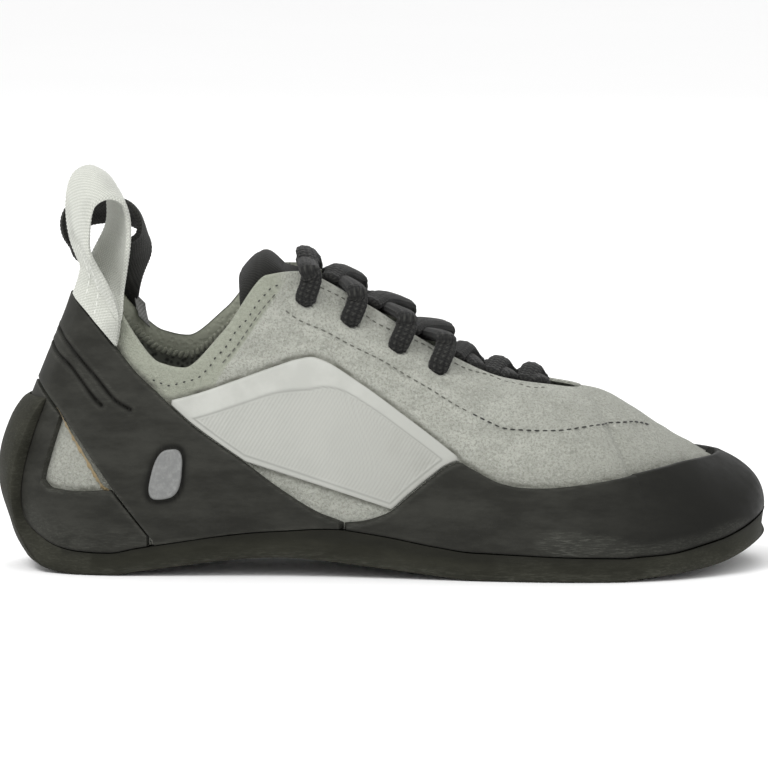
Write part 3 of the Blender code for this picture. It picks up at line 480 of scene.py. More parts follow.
def normal_at(station, rise):
    """Outward normals; both sides agree on the ridge, on the heel back and at the toe tip."""
    station = np.asarray(station, float)
    rise = np.asarray(rise, float)
    reach = np.minimum(np.abs(station), TIP - 0.02)
    station = np.where(station < 0, -reach, reach)
    share = np.where(reach > THROAT_END - 0.01, ramp(rise, 0.9, 1.0), 0.0)
    share = np.where(reach > TIP - 0.03, 1.0, share)
    own = flat_normal(station, rise)
    other = flat_normal(-station, rise)
    return unit(own + (other - own) / 2.0 * share[..., None])


def on_last(station, rise, lift):
    """Points at a height above the skin of the last."""
    lift = np.asarray(lift, float)[..., None]
    return skin(station, rise) + normal_at(station, rise) * lift


def find_share(goal, low, high, like):
    """The share at which goal turns from negative to positive, for every element of like."""
    low = np.full(np.shape(like), float(low))
    high = np.full(np.shape(like), float(high))
    for _ in range(24):
        middle = (low + high) / 2
        below = goal(middle) < 0
        low = np.where(below, middle, low)
        high = np.where(below, high, middle)
    return (low + high) / 2


def rise_of_edge(edge, station):
    """Where each section crosses an edge that is drawn from the side."""
    def above(rise):
        point = skin(station, rise)
        return point[..., 2] - edge(point[..., 0])
    return find_share(above, 0.0, 1.0, station)


def rise_of_seat(station, lift):
    """Where a layer that stands off the last meets the top of the sole."""
    def above(rise):
        point = on_last(station, rise, lift)
        return point[..., 2] - sole_top(point[..., 0])
    return find_share(above, 0.0, 0.5, station)


heel_back = skin(0.0, np.linspace(0.0, 1.0, 101))
widest = skin(np.linspace(-TIP, 0.0, 361)[:, None], np.linspace(0.0, 1.0, 41)[None, :])
upper_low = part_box("upper")[0]
ORIGIN = np.array([heel_back[:, 0].min() - upper_low.x, widest[..., 1].min() - upper_low.y, 0.0])
print("origin of the packed model, mm from the heel back:", np.round(ORIGIN / MM, 2))

# %% [markdown]
# ## From sections to meshes
# Most pieces here are layers: a grid of points on the last, lifted by a thickness that rounds off
# towards its edges. One helper turns grids into a closed mesh, and one makes the object ride on the
# shoe. Small forms such as creases, grooves and holes are added to the lift before the mesh is made.

# %% Helpers for meshes
def grid_faces(rows_count, across, first=0, flip=False):
    i, j = np.meshgrid(np.arange(rows_count - 1), np.arange(across - 1), indexing="ij")
    a = (first + i * across + j).ravel()
    quads = np.stack([a, a + 1, a + across + 1, a + across], -1)
    return quads[:, ::-1] if flip else quads


def slab(outer, inner):
    """Points and faces of a closed layer between two grids."""
    count, across = outer.shape[:2]
    back = count * across
    number = np.arange(back).reshape(count, across)
    border = np.concatenate([number[0], number[1:, -1], number[-1, -2::-1], number[-2:0:-1, 0]])
    after = np.roll(border, -1)
    rim = np.stack([after, border, back + border, back + after], -1)
    faces = np.concatenate([grid_faces(count, across), grid_faces(count, across, back, True), rim])
    return np.concatenate([outer.reshape(-1, 3), inner.reshape(-1, 3)]), faces


def make_piece(name, points, faces, finishes, slot, node=None, marks=None, which=None, sharp=50.0):
    """A smooth mesh that rides on the shoe; marks are values stored at its points."""
    mesh = bpy.data.meshes.new(name)
    mesh.from_pydata((points - ORIGIN).tolist(), [], [list(face) for face in faces])
    for key, values in (marks or {}).items():
        mesh.attributes.new(key, "FLOAT", "POINT").data.foreach_set("value", np.ravel(values))
    for finish in finishes:
        mesh.materials.append(finish)
    if which is not None:
        mesh.polygons.foreach_set("material_index", which)
    form = bmesh.new()
    form.from_mesh(mesh)
    bmesh.ops.remove_doubles(form, verts=form.verts, dist=0.00001)
    bmesh.ops.dissolve_degenerate(form, edges=form.edges, dist=0.000001)
    bmesh.ops.recalc_face_normals(form, faces=form.faces)
    if form.calc_volume(signed=True) < 0:
        bmesh.ops.reverse_faces(form, faces=form.faces)
    form.to_mesh(mesh)
    form.free()
    mesh.shade_smooth()
    mesh.set_sharp_from_angle(angle=math.radians(sharp))
    piece = bpy.data.objects.new(name, mesh)
    bpy.context.scene.collection.objects.link(piece)
    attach(piece, "root")
    if node:
        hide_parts(node)
    print(name, "has", sum(len(face.vertices) - 2 for face in mesh.polygons), "triangles")
    return piece


# %% Helpers for relief
def spaced(count, crowd=0.6):
    """Shares from 0 to 1 that crowd towards both ends."""
    share = np.linspace(0.0, 1.0, count)
    return between(share, 0.5 - 0.5 * np.cos(np.pi * share), crowd)


def travelled(points, axis):
    """Distance travelled along the rows or the columns of a grid."""
    steps = np.linalg.norm(np.diff(points, axis=axis), axis=-1)
    zero = np.zeros_like(np.take(steps, [0], axis=axis))
    return np.concatenate([zero, np.cumsum(steps, axis=axis)], axis=axis)


def edge_distance(points):
    """Distance of every point of a grid to the nearest edge of the grid."""
    across = travelled(points, 1)
    along = travelled(points, 0)
    near_side = np.minimum(across, across[:, -1:] - across)
    return np.minimum(near_side, np.minimum(along, along[-1:] - along))


def read_at(line, travel, spots):
    """A line of points, or one value per point, read at distances along it."""
    return np.stack([np.interp(spots, travel, values) for values in np.transpose(line)], -1)


def evenly(line, count):
    """The same line read at equal steps."""
    travel = travelled(line[None], 1)[0]
    return read_at(line, travel, np.linspace(0.0, travel[-1], count + 1))


def twice(marks):
    """The same marks for the outer and the inner grid of a layer."""
    return {key: np.tile(np.ravel(values), 2) for key, values in marks.items()}


def tube_faces(count, across):
    """Quads of a tube whose rings are closed."""
    number = np.arange(count * across).reshape(count, across)
    number = np.concatenate([number, number[:, :1]], 1)
    return np.stack([number[:-1, :-1], number[:-1, 1:], number[1:, 1:], number[1:, :-1]], -1).reshape(-1, 4)


def rounded(distance, thickness, radius=EDGE_ROUND):
    """Thickness that falls off in a quarter round at the edge."""
    share = 1.0 - np.clip(distance / radius, 0.0, 1.0)
    return thickness * np.sqrt(1.0 - share * share)


def lumps(points, size, seed=0.0):
    """Soft noise from -1 to 1 at each point."""
    shifted = (points.reshape(-1, 3) / size + seed).tolist()
    return np.array([noise.noise(spot) for spot in shifted]).reshape(points.shape[:-1])


def through(points, count):
    """Evenly read places of a smooth line through a few points."""
    points = np.asarray(points, float)
    padded = np.concatenate([[2 * points[0] - points[1]], points, [2 * points[-1] - points[-2]]])
    spot = np.linspace(0.0, len(points) - 1.0, count + 1)
    k = np.minimum(len(points) - 2, spot.astype(int))
    f = (spot - k)[:, None]
    p, q, r, s = (padded[k + shift] for shift in range(4))
    return q + 0.5 * f * (r - p + f * (2 * p - 5 * q + 4 * r - s + f * (3 * (q - r) + s - p)))


def from_side(places, side):
    """Stations and rises of places that are given as seen from the side."""
    grid_s, grid_t = np.meshgrid(side * np.linspace(0.3, TIP - 0.3, 240), np.linspace(0.0, 1.0, 60))
    grid = skin(grid_s, grid_t)[..., [0, 2]].reshape(-1, 2)
    nearest = [int(np.argmin(((grid - spot) ** 2).sum(1))) for spot in places]
    station = grid_s.ravel()[nearest]
    rise = grid_t.ravel()[nearest]
    step = 0.002
    for _ in range(5):
        miss = places - skin(station, rise)[:, [0, 2]]
        by_s = (skin(station + step, rise) - skin(station - step, rise))[:, [0, 2]] / (2 * step)
        by_t = (skin(station, rise + step) - skin(station, rise - step))[:, [0, 2]] / (2 * step)
        size = by_s[:, 0] * by_t[:, 1] - by_s[:, 1] * by_t[:, 0]
        station = station + np.clip((miss[:, 0] * by_t[:, 1] - miss[:, 1] * by_t[:, 0]) / size, -0.1, 0.1)
        rise = rise + np.clip((by_s[:, 0] * miss[:, 1] - by_s[:, 1] * miss[:, 0]) / size, -0.02, 0.02)
        rise = np.clip(rise, 0.0, 1.0)
    return station, rise


def drawn(places, side, step=0.0005):
    """Stations and rises of a smooth line through places in millimetres, along and up."""
    places = np.array(places, float) * MM
    length = np.linalg.norm(np.diff(places, axis=0), axis=1).sum()
    places = through(places, max(6, int(length / step)))
    station, rise = from_side(places, side)
    miss = np.linalg.norm(skin(station, rise)[:, [0, 2]] - places, axis=1)
    on_shoe = miss < 0.0004
    return station[on_shoe], rise[on_shoe]


def nearness(points, line, reach=0.012):
    """Distance of each point to the nearest point of a line, read only within reach of it."""
    tree = KDTree(len(line))
    for i, spot in enumerate(line.tolist()):
        tree.insert(spot, i)
    tree.balance()
    flat = points.reshape(-1, 3)
    close = np.all((flat > line.min(0) - reach) & (flat < line.max(0) + reach), axis=1)
    distance = np.full(len(flat), reach)
    distance[close] = [tree.find(spot)[2] for spot in flat[close].tolist()]
    return distance.reshape(points.shape[:-1])


def furrow(distance, width, depth, ridge=0.35):
    """A soft trough with a low ridge on each side."""
    banks = bell(distance - 1.9 * width, 0.9 * width)
    return depth * (ridge * banks - bell(distance, width))


# %% Stitches
AHEAD = 0.0004
BEAN_RINGS = 7
BEAN_BLUNT = 0.6


def stitch_row(name, line, normals, finish, slot, stitch=0.0024, gap=0.0009, thread=0.0006, lean=0.0):
    """Short stitches of thread laid along a line, joined as one mesh."""
    travel = travelled(line[None], 1)[0]
    spots = np.arange(0.5, int(travel[-1] / (stitch + gap))) * (stitch + gap)
    centre, normal = read_at(line, travel, spots), read_at(normals, travel, spots)
    ahead = read_at(line, travel, spots + AHEAD)
    tangent = unit(ahead - centre)
    across = unit(np.cross(normal, tangent))
    tangent = unit(tangent + across * lean)
    across = unit(np.cross(normal, tangent))
    u = np.linspace(0.0, np.pi, BEAN_RINGS)
    v = np.linspace(0.0, 2 * np.pi, BEAN_RINGS)
    along = -np.cos(u)[:, None] * stitch / 2 * np.ones_like(v)
    radius = (np.sin(u) ** BEAN_BLUNT)[:, None] * thread / 2
    wide = radius * np.cos(v)
    high = radius * np.sin(v)
    axes = [part[:, None, None, :] for part in (centre, tangent, across, normal)]
    points = axes[0] + axes[1] * along[..., None] + axes[2] * wide[..., None] + axes[3] * high[..., None]
    size = len(u) * len(v)
    bean = grid_faces(len(u), len(v))
    faces = (bean[None] + (np.arange(len(spots)) * size)[:, None, None]).reshape(-1, 4)
    return make_piece(name, points.reshape(-1, 3), faces, [finish], slot)

# %% [markdown]
# ## Finishes
# Suede is cut leather: millions of short fibres, so it has no shine, a soft bright edge and small
# clouds where the nap lies over. Rubber is smooth and dense, with dust in its pores. Each finish is
# a few layers of noise at the real size of its grain; what follows a place on the shoe, such as dirt,
# buffing, painted shade and painted highlights, comes from marks stored on the mesh.

# %% Suede and cloth of the upper
suede, tree, shader = new_finish("suede", Roughness=0.93, Sheen_Weight=0.12, Sheen_Roughness=0.45)
shader.inputs["Specular IOR Level"].default_value = 0.25
nap = cloud(tree, 1300.0, 4.0, 0.75)
lay = cloud(tree, 110.0, 5.0, 0.62, (1.0, 1.0, 2.2))
pores = cloud(tree, 900.0, 4.0, 0.75)
shade = tint(tree, span(tree, lay, 0.36, 0.66), (0.365, 0.372, 0.328), (0.455, 0.463, 0.412))
shade = tint(tree, span(tree, nap, 0.46, 0.60, 0.0, 0.62), shade, (0.225, 0.231, 0.196))
shade = tint(tree, span(tree, pores, 0.52, 0.68, 0.0, 0.55), shade, (0.540, 0.550, 0.495))
band_shade = tint(tree, span(tree, nap, 0.3, 0.7), (0.305, 0.320, 0.258), (0.375, 0.391, 0.320))
shade = tint(tree, mark(tree, "band"), shade, band_shade)
# This mark darkens the suede towards the toe and near the bottom, and paints shade in thin lines along the
# edges of the layers that lie on the suede.
darkening = times(tree, mark(tree, "dirt_and_painted_light"), span(tree, lay, 0.30, 0.70, 0.45, 1.25))
shade = tint(tree, darkening, shade, (0.155, 0.156, 0.130))
# Painted shade: the eyelet holes are painted nearly black.
shade = tint(tree, mark(tree, "hole_shade"), shade, (0.012, 0.012, 0.011))
colour(tree, shader, shade)
fibre = sum_of(tree, nap, span(tree, pores, 0.2, 0.8, 0.0, 1.6))
bump(tree, shader, fibre, 0.00035, 1.0)

lining, tree, shader = new_finish("lining", Roughness=0.9, Sheen_Weight=0.2)
cells = add(tree, "TexVoronoi", {"Vector": place(tree), "Scale": 620.0})
weave = span(tree, cells, 0.15, 0.62)
mesh_shade = tint(tree, weave, (0.030, 0.032, 0.026), (0.125, 0.131, 0.108))
smooth_shade = tint(tree, cloud(tree, 800.0), (0.300, 0.312, 0.245), (0.370, 0.384, 0.308))
colour(tree, shader, tint(tree, mark(tree, "band"), mesh_shade, smooth_shade))
bump(tree, shader, weave, 0.00025, 0.6)

# %% [markdown]
# Climbing rubber is nearly black. Use leaves dust in its pores and grinds scratches into it, so the
# finish mixes smears, fine dots and two directions of scratches, which show where the mark says worn.

# %% Rubber
def rubber_finish(name, dark, light, dust, roughness_range):
    """Climbing rubber with pores full of dust, buffed where the mark says so."""
    made, tree, shader = new_finish(name, IOR=1.48, Specular_IOR_Level=0.08)
    fine = cloud(tree, 3400.0, 2.0, 0.6)
    smear = cloud(tree, 85.0, 6.0, 0.68, (0.5, 1.0, 1.6))
    scratch = cloud(tree, 2300.0, 3.0, 0.7, (0.10, 0.5, 1.0), (0.0, -0.32, 0.0))
    cross = cloud(tree, 1500.0, 3.0, 0.7, (0.16, 0.5, 1.0), (0.0, 0.55, 0.0))
    shade = tint(tree, span(tree, smear, 0.33, 0.70), dark, light)
    shade = tint(tree, span(tree, fine, 0.66, 0.80, 0.0, 0.45), shade, dust)
    worn = times(tree, mark(tree, "worn"), span(tree, smear, 0.30, 0.65, 0.55, 1.0))
    lines = span(tree, sum_of(tree, scratch, cross, "MAXIMUM"), 0.48, 0.74)
    shade = tint(tree, times(tree, worn, lines), shade, darker(dust, 1.7))
    shade = tint(tree, times(tree, worn, 0.42), shade, dust)
    # This mark darkens the rubber almost to black: dirt in the joints, painted shade in the sling's grooves
    # and frame, and darker towards the toe tip.
    shade = tint(tree, mark(tree, "dirt_and_painted_light"), shade, (0.008, 0.008, 0.007))
    colour(tree, shader, shade)
    roughness(tree, shader, span(tree, smear, 0.25, 0.75, *roughness_range))
    grooves = sum_of(tree, times(tree, lines, mark(tree, "worn")), times(tree, fine, 0.35))
    bump(tree, shader, grooves, 0.00012, 0.8)
    return made


rand_rubber = rubber_finish(
    "rand_rubber", (0.0185, 0.0185, 0.0158), (0.033, 0.033, 0.0285), (0.064, 0.065, 0.056), (0.44, 0.66)
)
sole_rubber = rubber_finish(
    "sole_rubber", (0.016, 0.016, 0.0115), (0.026, 0.026, 0.0195), (0.052, 0.052, 0.042), (0.55, 0.78)
)

# %% [markdown]
# The panel is a smooth coated sheet, the plate is plastic and the footbed is covered with cloth. Each
# gets a grain of its own, and the panel's dirt and the painted shade in its grooves come from marks.

# %% Panel, plate and board
panel_finish, tree, shader = new_finish("panel_finish", Roughness=0.62, IOR=1.42)
cloudy = cloud(tree, 70.0, 4.0)
shade = tint(tree, span(tree, cloudy, 0.35, 0.65), (0.375, 0.380, 0.352), (0.425, 0.430, 0.400))
# Painted shade: the groove mark darkens the groove round the field and the troughs between the embossed
# lines.
shade = tint(tree, mark(tree, "groove"), shade, (0.215, 0.220, 0.200))
darkening = times(tree, mark(tree, "dirt_and_painted_light"), span(tree, cloudy, 0.30, 0.70, 0.4, 1.2))
colour(tree, shader, tint(tree, darkening, shade, (0.15, 0.15, 0.128)))
bump(tree, shader, cloud(tree, 1800.0, 4.0, 0.6), 0.0001, 0.5)

plate_finish, tree, shader = new_finish("plate_finish", Roughness=0.42, IOR=1.46)
spots = cloud(tree, 500.0, 5.0, 0.7)
colour(tree, shader, tint(tree, span(tree, spots, 0.4, 0.7), (0.150, 0.153, 0.150), (0.205, 0.208, 0.202)))
bump(tree, shader, cloud(tree, 2500.0), 0.00005, 0.5)

footbed_cloth, tree, shader = new_finish("footbed_cloth", Roughness=0.92)
cells = add(tree, "TexVoronoi", {"Vector": place(tree), "Scale": 900.0})
colour(tree, shader, tint(tree, cells, (0.13, 0.135, 0.115), (0.25, 0.255, 0.22)))
bump(tree, shader, cells, 0.0002, 0.6)

# %% [markdown]
# Webbing, lace and tongue are woven. Two sets of threads cross, so the finish multiplies two waves that
# are measured on the piece itself: it has a little hill where a thread comes up. Sewing thread is only
# twisted, so a cloud is enough for it.

# %% Woven finishes
THREAD_WAVE = 2 * math.pi / 0.0011


def woven(name, dark, light, rough, sheen):
    """Threads that cross: two waves on the piece's own marks, along it and across it."""
    made, tree, shader = new_finish(name, Roughness=rough, Sheen_Weight=sheen, Specular_IOR_Level=0.25)
    along, across = (
        add(tree, "Math", {0: times(tree, mark(tree, way), THREAD_WAVE)}, operation="SINE")
        for way in ("along", "across")
    )
    threads = span(tree, times(tree, along, across), -1.0, 1.0)
    hairs = cloud(tree, 4000.0, 2.0, 0.7)
    shade = tint(tree, threads, dark, light)
    shade = tint(tree, span(tree, hairs, 0.35, 0.75, 0.0, 0.5), shade, darker(dark, 0.6))
    # This mark lightens the lace's thread crests as a painted highlight; on the loops it gives patches of
    # dirt.
    shade = tint(tree, mark(tree, "dirt_and_painted_light"), shade, (0.05, 0.05, 0.045))
    colour(tree, shader, shade)
    bump(tree, shader, sum_of(tree, threads, hairs), 0.00015, 0.7)
    return made


light_webbing = woven("light_webbing", (0.42, 0.43, 0.385), (0.62, 0.63, 0.580), 0.85, 0.2)
dark_webbing = woven("dark_webbing", (0.008, 0.008, 0.007), (0.028, 0.028, 0.024), 0.88, 0.06)
lace_braid = woven("lace_braid", (0.003, 0.003, 0.003), (0.013, 0.013, 0.012), 0.8, 0.08)
tongue_cloth = woven("tongue_cloth", (0.006, 0.006, 0.005), (0.018, 0.018, 0.016), 0.9, 0.05)


def thread_finish(name, shade):
    made, tree, shader = new_finish(name, Roughness=0.7, Sheen_Weight=0.2)
    twist = cloud(tree, 3000.0, 2.0)
    colour(tree, shader, tint(tree, twist, darker(shade, 0.65), shade))
    bump(tree, shader, twist, 0.0001, 0.5)
    return made


grey_thread = thread_finish("grey_thread", (0.090, 0.092, 0.075))
long_thread = thread_finish("long_thread", (0.125, 0.127, 0.105))
dark_thread = thread_finish("dark_thread", (0.020, 0.020, 0.016))
pale_thread = thread_finish("pale_thread", (0.78, 0.79, 0.74))
raw_edge = thread_finish("raw_edge", (0.26, 0.19, 0.085))
facing_thread = thread_finish("facing_thread", (0.330, 0.342, 0.270))
tab_cloth = woven("tab_cloth", (0.17, 0.17, 0.16), (0.34, 0.34, 0.33), 0.8, 0.1)
print("materials so far:", len(bpy.data.materials))

# %% [markdown]
# ## The upper
# One suede wall, 2.2 mm thick, with its rim rolled over at the collar and the throat. We read the
# last on a fine grid and press the relief into it: the creases where the foot bends, the eyelets, and
# the step under the collar band. Creases are given in millimetres from the heel and up.

# %% Edges seen from the side
SLING_TOP = (
    (0.090, 0.960), (0.104, 0.888), (0.127, 0.812), (0.154, 0.729), (0.180, 0.651), (0.206, 0.592),
    (0.246, 0.499), (0.285, 0.429), (0.324, 0.364), (0.364, 0.290), (0.416, 0.210), (0.449, 0.178),
    (0.520, 0.060),
)
SLING_LOWER = (
    (0.040, 0.660), (0.077, 0.537), (0.085, 0.512), (0.149, 0.281), (0.160, 0.246), (0.171, 0.211),
    (0.198, 0.127), (0.214, 0.080), (0.235, 0.010),
)
WINDOW_SILL = ((0.055, 0.340), (0.062, 0.300), (0.072, 0.278), (0.101, 0.272), (0.146, 0.278))
TOE_RAND_TOP = (
    (0.380, 0.050), (0.449, 0.179), (0.470, 0.185), (0.505, 0.215), (0.534, 0.275), (0.560, 0.328),
    (0.582, 0.367), (0.598, 0.380), (0.610, 0.365), (0.652, 0.314), (0.680, 0.301), (0.705, 0.299),
    (0.758, 0.310), (0.810, 0.328), (0.862, 0.348), (0.889, 0.353), (0.921, 0.349), (0.960, 0.343),
)
PANEL_TOP = (
    (0.215, 0.560), (0.258, 0.588), (0.311, 0.634), (0.363, 0.680), (0.390, 0.700), (0.406, 0.706),
    (0.420, 0.697), (0.468, 0.625), (0.521, 0.532), (0.573, 0.437), (0.600, 0.384), (0.660, 0.240),
)
PANEL_LOWER = ((0.320, 0.370), (0.510, 0.222), (0.600, 0.150))
COLLAR_BAND_EDGE = (
    (0.095, 0.880), (0.140, 0.720), (0.200, 0.520), (0.260, 0.550), (0.294, 0.668), (0.315, 0.738),
    (0.343, 0.838), (0.363, 0.909), (0.385, 0.975),
)
sling_top = side_curve(SLING_TOP, LENGTH, HEEL_HEIGHT)
sling_lower = side_curve(SLING_LOWER, LENGTH, HEEL_HEIGHT)
window_sill = side_curve(WINDOW_SILL, LENGTH, HEEL_HEIGHT)
toe_rand_top = side_curve(TOE_RAND_TOP, LENGTH, INSTEP_HEIGHT)
panel_top = side_curve(PANEL_TOP, LENGTH, HEEL_HEIGHT)
panel_lower = side_curve(PANEL_LOWER, LENGTH, HEEL_HEIGHT)
collar_band_edge = side_curve(COLLAR_BAND_EDGE, LENGTH, HEEL_HEIGHT)
print("rubber stands off the last by", round((LAYER_GAP + RAND_THICKNESS) / MM, 2), "mm")


# %% Eyelets
LaceRow = namedtuple("LaceRow", "along lean over_edge")
LACE_ROWS = (
    LaceRow(0.397, -0.008, True), LaceRow(0.455, 0.018, True), LaceRow(0.517, 0.026, True),
    LaceRow(0.568, 0.026, True), LaceRow(0.622, 0.022, False), LaceRow(0.664, 0.018, False),
    LaceRow(0.705, 0.016, False),
)
EYELET_RADIUS = 0.0026
EYELET_DEPTH = 0.0016
EYELET_RING = 0.00045


def throat_station(x):
    """The station whose throat edge lies at x."""
    return find_share(lambda reach: top_x(reach) - x, 5.0, float(TIP), 0.0)


def eyelet_rise(station):
    """The rise of an eyelet, a fixed way down from the throat edge."""
    edge = skin(station, 1.0)
    return find_share(lambda rise: EYELET_DROP - np.linalg.norm(skin(station, rise) - edge), 0.5, 0.999, 0.0)


eyelets = []
for row in LACE_ROWS:
    if row.over_edge:
        for side in (-1.0, 1.0):
            station = side * throat_station(row.along * LENGTH)
            eyelets.append((station, eyelet_rise(station)))
eyelet_spots = np.array([skin(station, rise) for station, rise in eyelets])
print("eyelets, mm along and up:", [(round(p[0] / MM), round(p[2] / MM)) for p in eyelet_spots])

# %% Creases
Crease = namedtuple("Crease", "places width depth")
CREASES = (
    Crease(((150, 62), (157, 53), (163, 42)), 1.6, 0.45),
    Crease(((164, 59), (170, 50), (174, 41)), 1.8, 0.50),
    Crease(((176, 57), (185, 50), (190, 41)), 2.0, 0.60),
    Crease(((187, 55), (196, 47), (201, 39)), 1.8, 0.50),
    Crease(((197, 54), (206, 46), (212, 39)), 1.6, 0.40),
    Crease(((166, 44), (181, 40), (196, 38)), 2.0, 0.35),
    Crease(((50, 68), (57, 71), (64, 76)), 1.8, 0.45),
    Crease(((60, 60), (67, 56), (74, 53)), 1.6, 0.35),
    Crease(((122, 74), (129, 66), (134, 58)), 1.8, 0.35),
    Crease(((90, 78), (96, 74), (104, 73)), 1.6, 0.30),
    Crease(((210, 50), (217, 44), (222, 38)), 2.4, 0.40),
)


def pressed(points):
    """The creases and the soft unevenness of worn leather, as a lift in metres."""
    lift = lumps(points, 0.017, 3.1) * 0.00035 + lumps(points, 0.006, 9.4) * 0.00010
    for crease in CREASES:
        for side in (-1, 1):
            line = skin(*drawn(crease.places, side))
            taper = np.ones(points.shape[:-1])
            for end in (line[0], line[-1]):
                taper = np.minimum(taper, ramp(np.linalg.norm(points - end, axis=-1), 0.0, 0.007))
            lift = lift + furrow(nearness(points, line), crease.width * MM, crease.depth * MM) * taper
    return lift


# %% Build the upper
# Edges of the layers on the suede, with the stretch along the shoe where each gets a painted shadow line.
CONTACTS = (
    (panel_top, 0.215, 0.600), (toe_rand_top, 0.570, 0.985), (sling_top, 0.110, 0.245),
    (sling_lower, 0.075, 0.150), (window_sill, 0.055, 0.146), (panel_lower, 0.330, 0.510),
)
WALL_COLUMNS = 640
WALL_ROWS = 92
LINING_ROWS = 26
LINING_BAND = 0.0065
CONTACT_SHADOW = 0.0009
BAND_STEP = 0.0004


def rim_share(distance, station):
    """How far the wall has rolled over, from 0 to 1 at its open edge."""
    share = 1.0 - np.clip(distance / (UPPER_WALL / 2), 0.0, 1.0)
    open_here = ramp(THROAT_END - np.abs(station), 0.0, 0.12)
    return (1.0 - np.sqrt(np.maximum(0.0, 1.0 - share * share))) * open_here


def toward_edge(count):
    """Shares from 0 to 1 that crowd at 1."""
    share = np.linspace(0.0, 1.0, count)
    return between(share, np.sin(share * np.pi / 2), 0.9)


def build_upper():
    station = np.linspace(-TIP, TIP, WALL_COLUMNS + 1)[:, None]
    for end in (-THROAT_END, THROAT_END):
        station[np.argmin(np.abs(station - end)), 0] = end
    rise = toward_edge(WALL_ROWS)[None, :] + 0.0 * station
    points = skin(station, rise)
    from_top = np.linalg.norm(points - points[:, -1:], axis=-1)
    band_start = np.clip(rise_of_edge(collar_band_edge, station), 0.55, 0.95)
    front = 1.0 - ramp(np.abs(station), THROAT_TOP - 0.6, THROAT_TOP)
    band = ramp(rise, band_start - 0.006, band_start + 0.006) * front
    lift = pressed(points) * ramp(from_top, 0.0, 0.004) - band * BAND_STEP
    # Painted shade: this mark paints the eyelet holes nearly black.
    hole_shade = np.zeros(points.shape[:-1])
    for spot in eyelet_spots:
        away = np.linalg.norm(points - spot, axis=-1)
        ring = EYELET_RING * bell(away - 1.5 * EYELET_RADIUS, 0.0011)
        lift += ring - EYELET_DEPTH * close_to(away, 0.55 * EYELET_RADIUS, EYELET_RADIUS)
        hole_shade = np.maximum(hole_shade, close_to(away, 0.75 * EYELET_RADIUS, EYELET_RADIUS))
    lift -= rim_share(from_top, station) * UPPER_WALL / 2
    outer = on_last(station, rise, lift)
    rise_in = np.linspace(0.0, 1.0, LINING_ROWS)[None, :] + 0.0 * station
    inside = skin(station, rise_in)
    from_top_in = np.linalg.norm(inside - inside[:, -1:], axis=-1)
    inner = on_last(station, rise_in, rim_share(from_top_in, station) * UPPER_WALL / 2 - UPPER_WALL)
    x, z = points[..., 0], points[..., 2]
    # Darker towards the toe, near the bottom, low on the heel back and just above the toe rand.
    dirt_and_painted_light = 0.28 * ramp(x, 0.62 * LENGTH, 0.86 * LENGTH) + 0.4 * close_to(z, 0.006, 0.022)
    dirt_and_painted_light = dirt_and_painted_light + 0.20 * (1.0 - ramp(x, 0.036, 0.045)) * (1.0 - ramp(z, 0.055, 0.065))
    near_rand = np.clip(1.0 - (z - toe_rand_top(x)) / 0.006, 0.0, 1.0)
    dirt_and_painted_light = dirt_and_painted_light + 0.35 * near_rand * ramp(x, 0.55 * LENGTH, 0.70 * LENGTH)
    # Painted shade: a thin, slightly wavy dark line just above the edge of each layer that lies on the suede,
    # where that layer shades it.
    z = z + lumps(points, 0.0012, 7.0) * 0.0003
    for edge, first, last in CONTACTS:
        slope = (edge(x + 0.001) - edge(x - 0.001)) / 0.002
        near = np.abs(z - edge(x) - 0.0004) / np.sqrt(1.0 + slope * slope)
        inside = (x > first * LENGTH) & (x < last * LENGTH)
        dirt_and_painted_light = np.maximum(dirt_and_painted_light, 0.95 * bell(near, CONTACT_SHADOW) * inside)
    lining_band = 1.0 - ramp(from_top_in, LINING_BAND - 0.0006, LINING_BAND + 0.0006)
    marks = {
        key: np.concatenate([outside.ravel(), lined.ravel()])
        for key, outside, lined in (
            ("band", band, lining_band), ("dirt_and_painted_light", dirt_and_painted_light, 0.0 * lining_band), ("hole_shade", hole_shade, 0.0 * lining_band),
        )
    }
    back = outer.shape[0] * WALL_ROWS
    faces_out = grid_faces(len(station), WALL_ROWS)
    faces_in = grid_faces(len(station), LINING_ROWS, back, True)
    i = np.arange(len(station) - 1)
    a, b = i * WALL_ROWS, (i + 1) * WALL_ROWS
    c, d = back + i * LINING_ROWS, back + (i + 1) * LINING_ROWS
    low_rim = np.stack([a, b, d, c], -1)
    reach = np.abs(station[:, 0])
    is_open = np.maximum(reach[:-1], reach[1:]) < THROAT_END + 0.001
    top, low_top = WALL_ROWS - 1, LINING_ROWS - 1
    top_rim = np.stack([b + top, a + top, c + low_top, d + low_top], -1)[is_open]
    faces = np.concatenate([faces_out, low_rim, top_rim, faces_in])
    which = np.concatenate([np.zeros(len(faces) - len(faces_in), int), np.ones(len(faces_in), int)])
    all_points = np.concatenate([outer.reshape(-1, 3), inner.reshape(-1, 3)])
    make_piece("upper_suede", all_points, faces, [suede, lining], "upper", "upper", marks, which)


build_upper()

# %% [markdown]
# ## Rubber bands, cup and cap
# The rands are sheets of rubber glued over the lasted boot under tension. Each is a layer between two
# edges drawn from the side. Its thickness rounds off at every border, so it looks cut and rolled down.

# %% A layer on the last
RUBBER_LIFT = LAYER_GAP + RAND_THICKNESS
BASE_LIFT = 0.00005


def pinched(outer, inner):
    """Points and faces of a layer whose two grids meet all along the border."""
    count, across = outer.shape[:2]
    faces = np.concatenate([grid_faces(count, across), grid_faces(count, across, count * across, True)])
    return np.concatenate([outer.reshape(-1, 3), inner.reshape(-1, 3)]), faces


Layer = namedtuple("Layer", "station rise points from_low from_high from_ends")


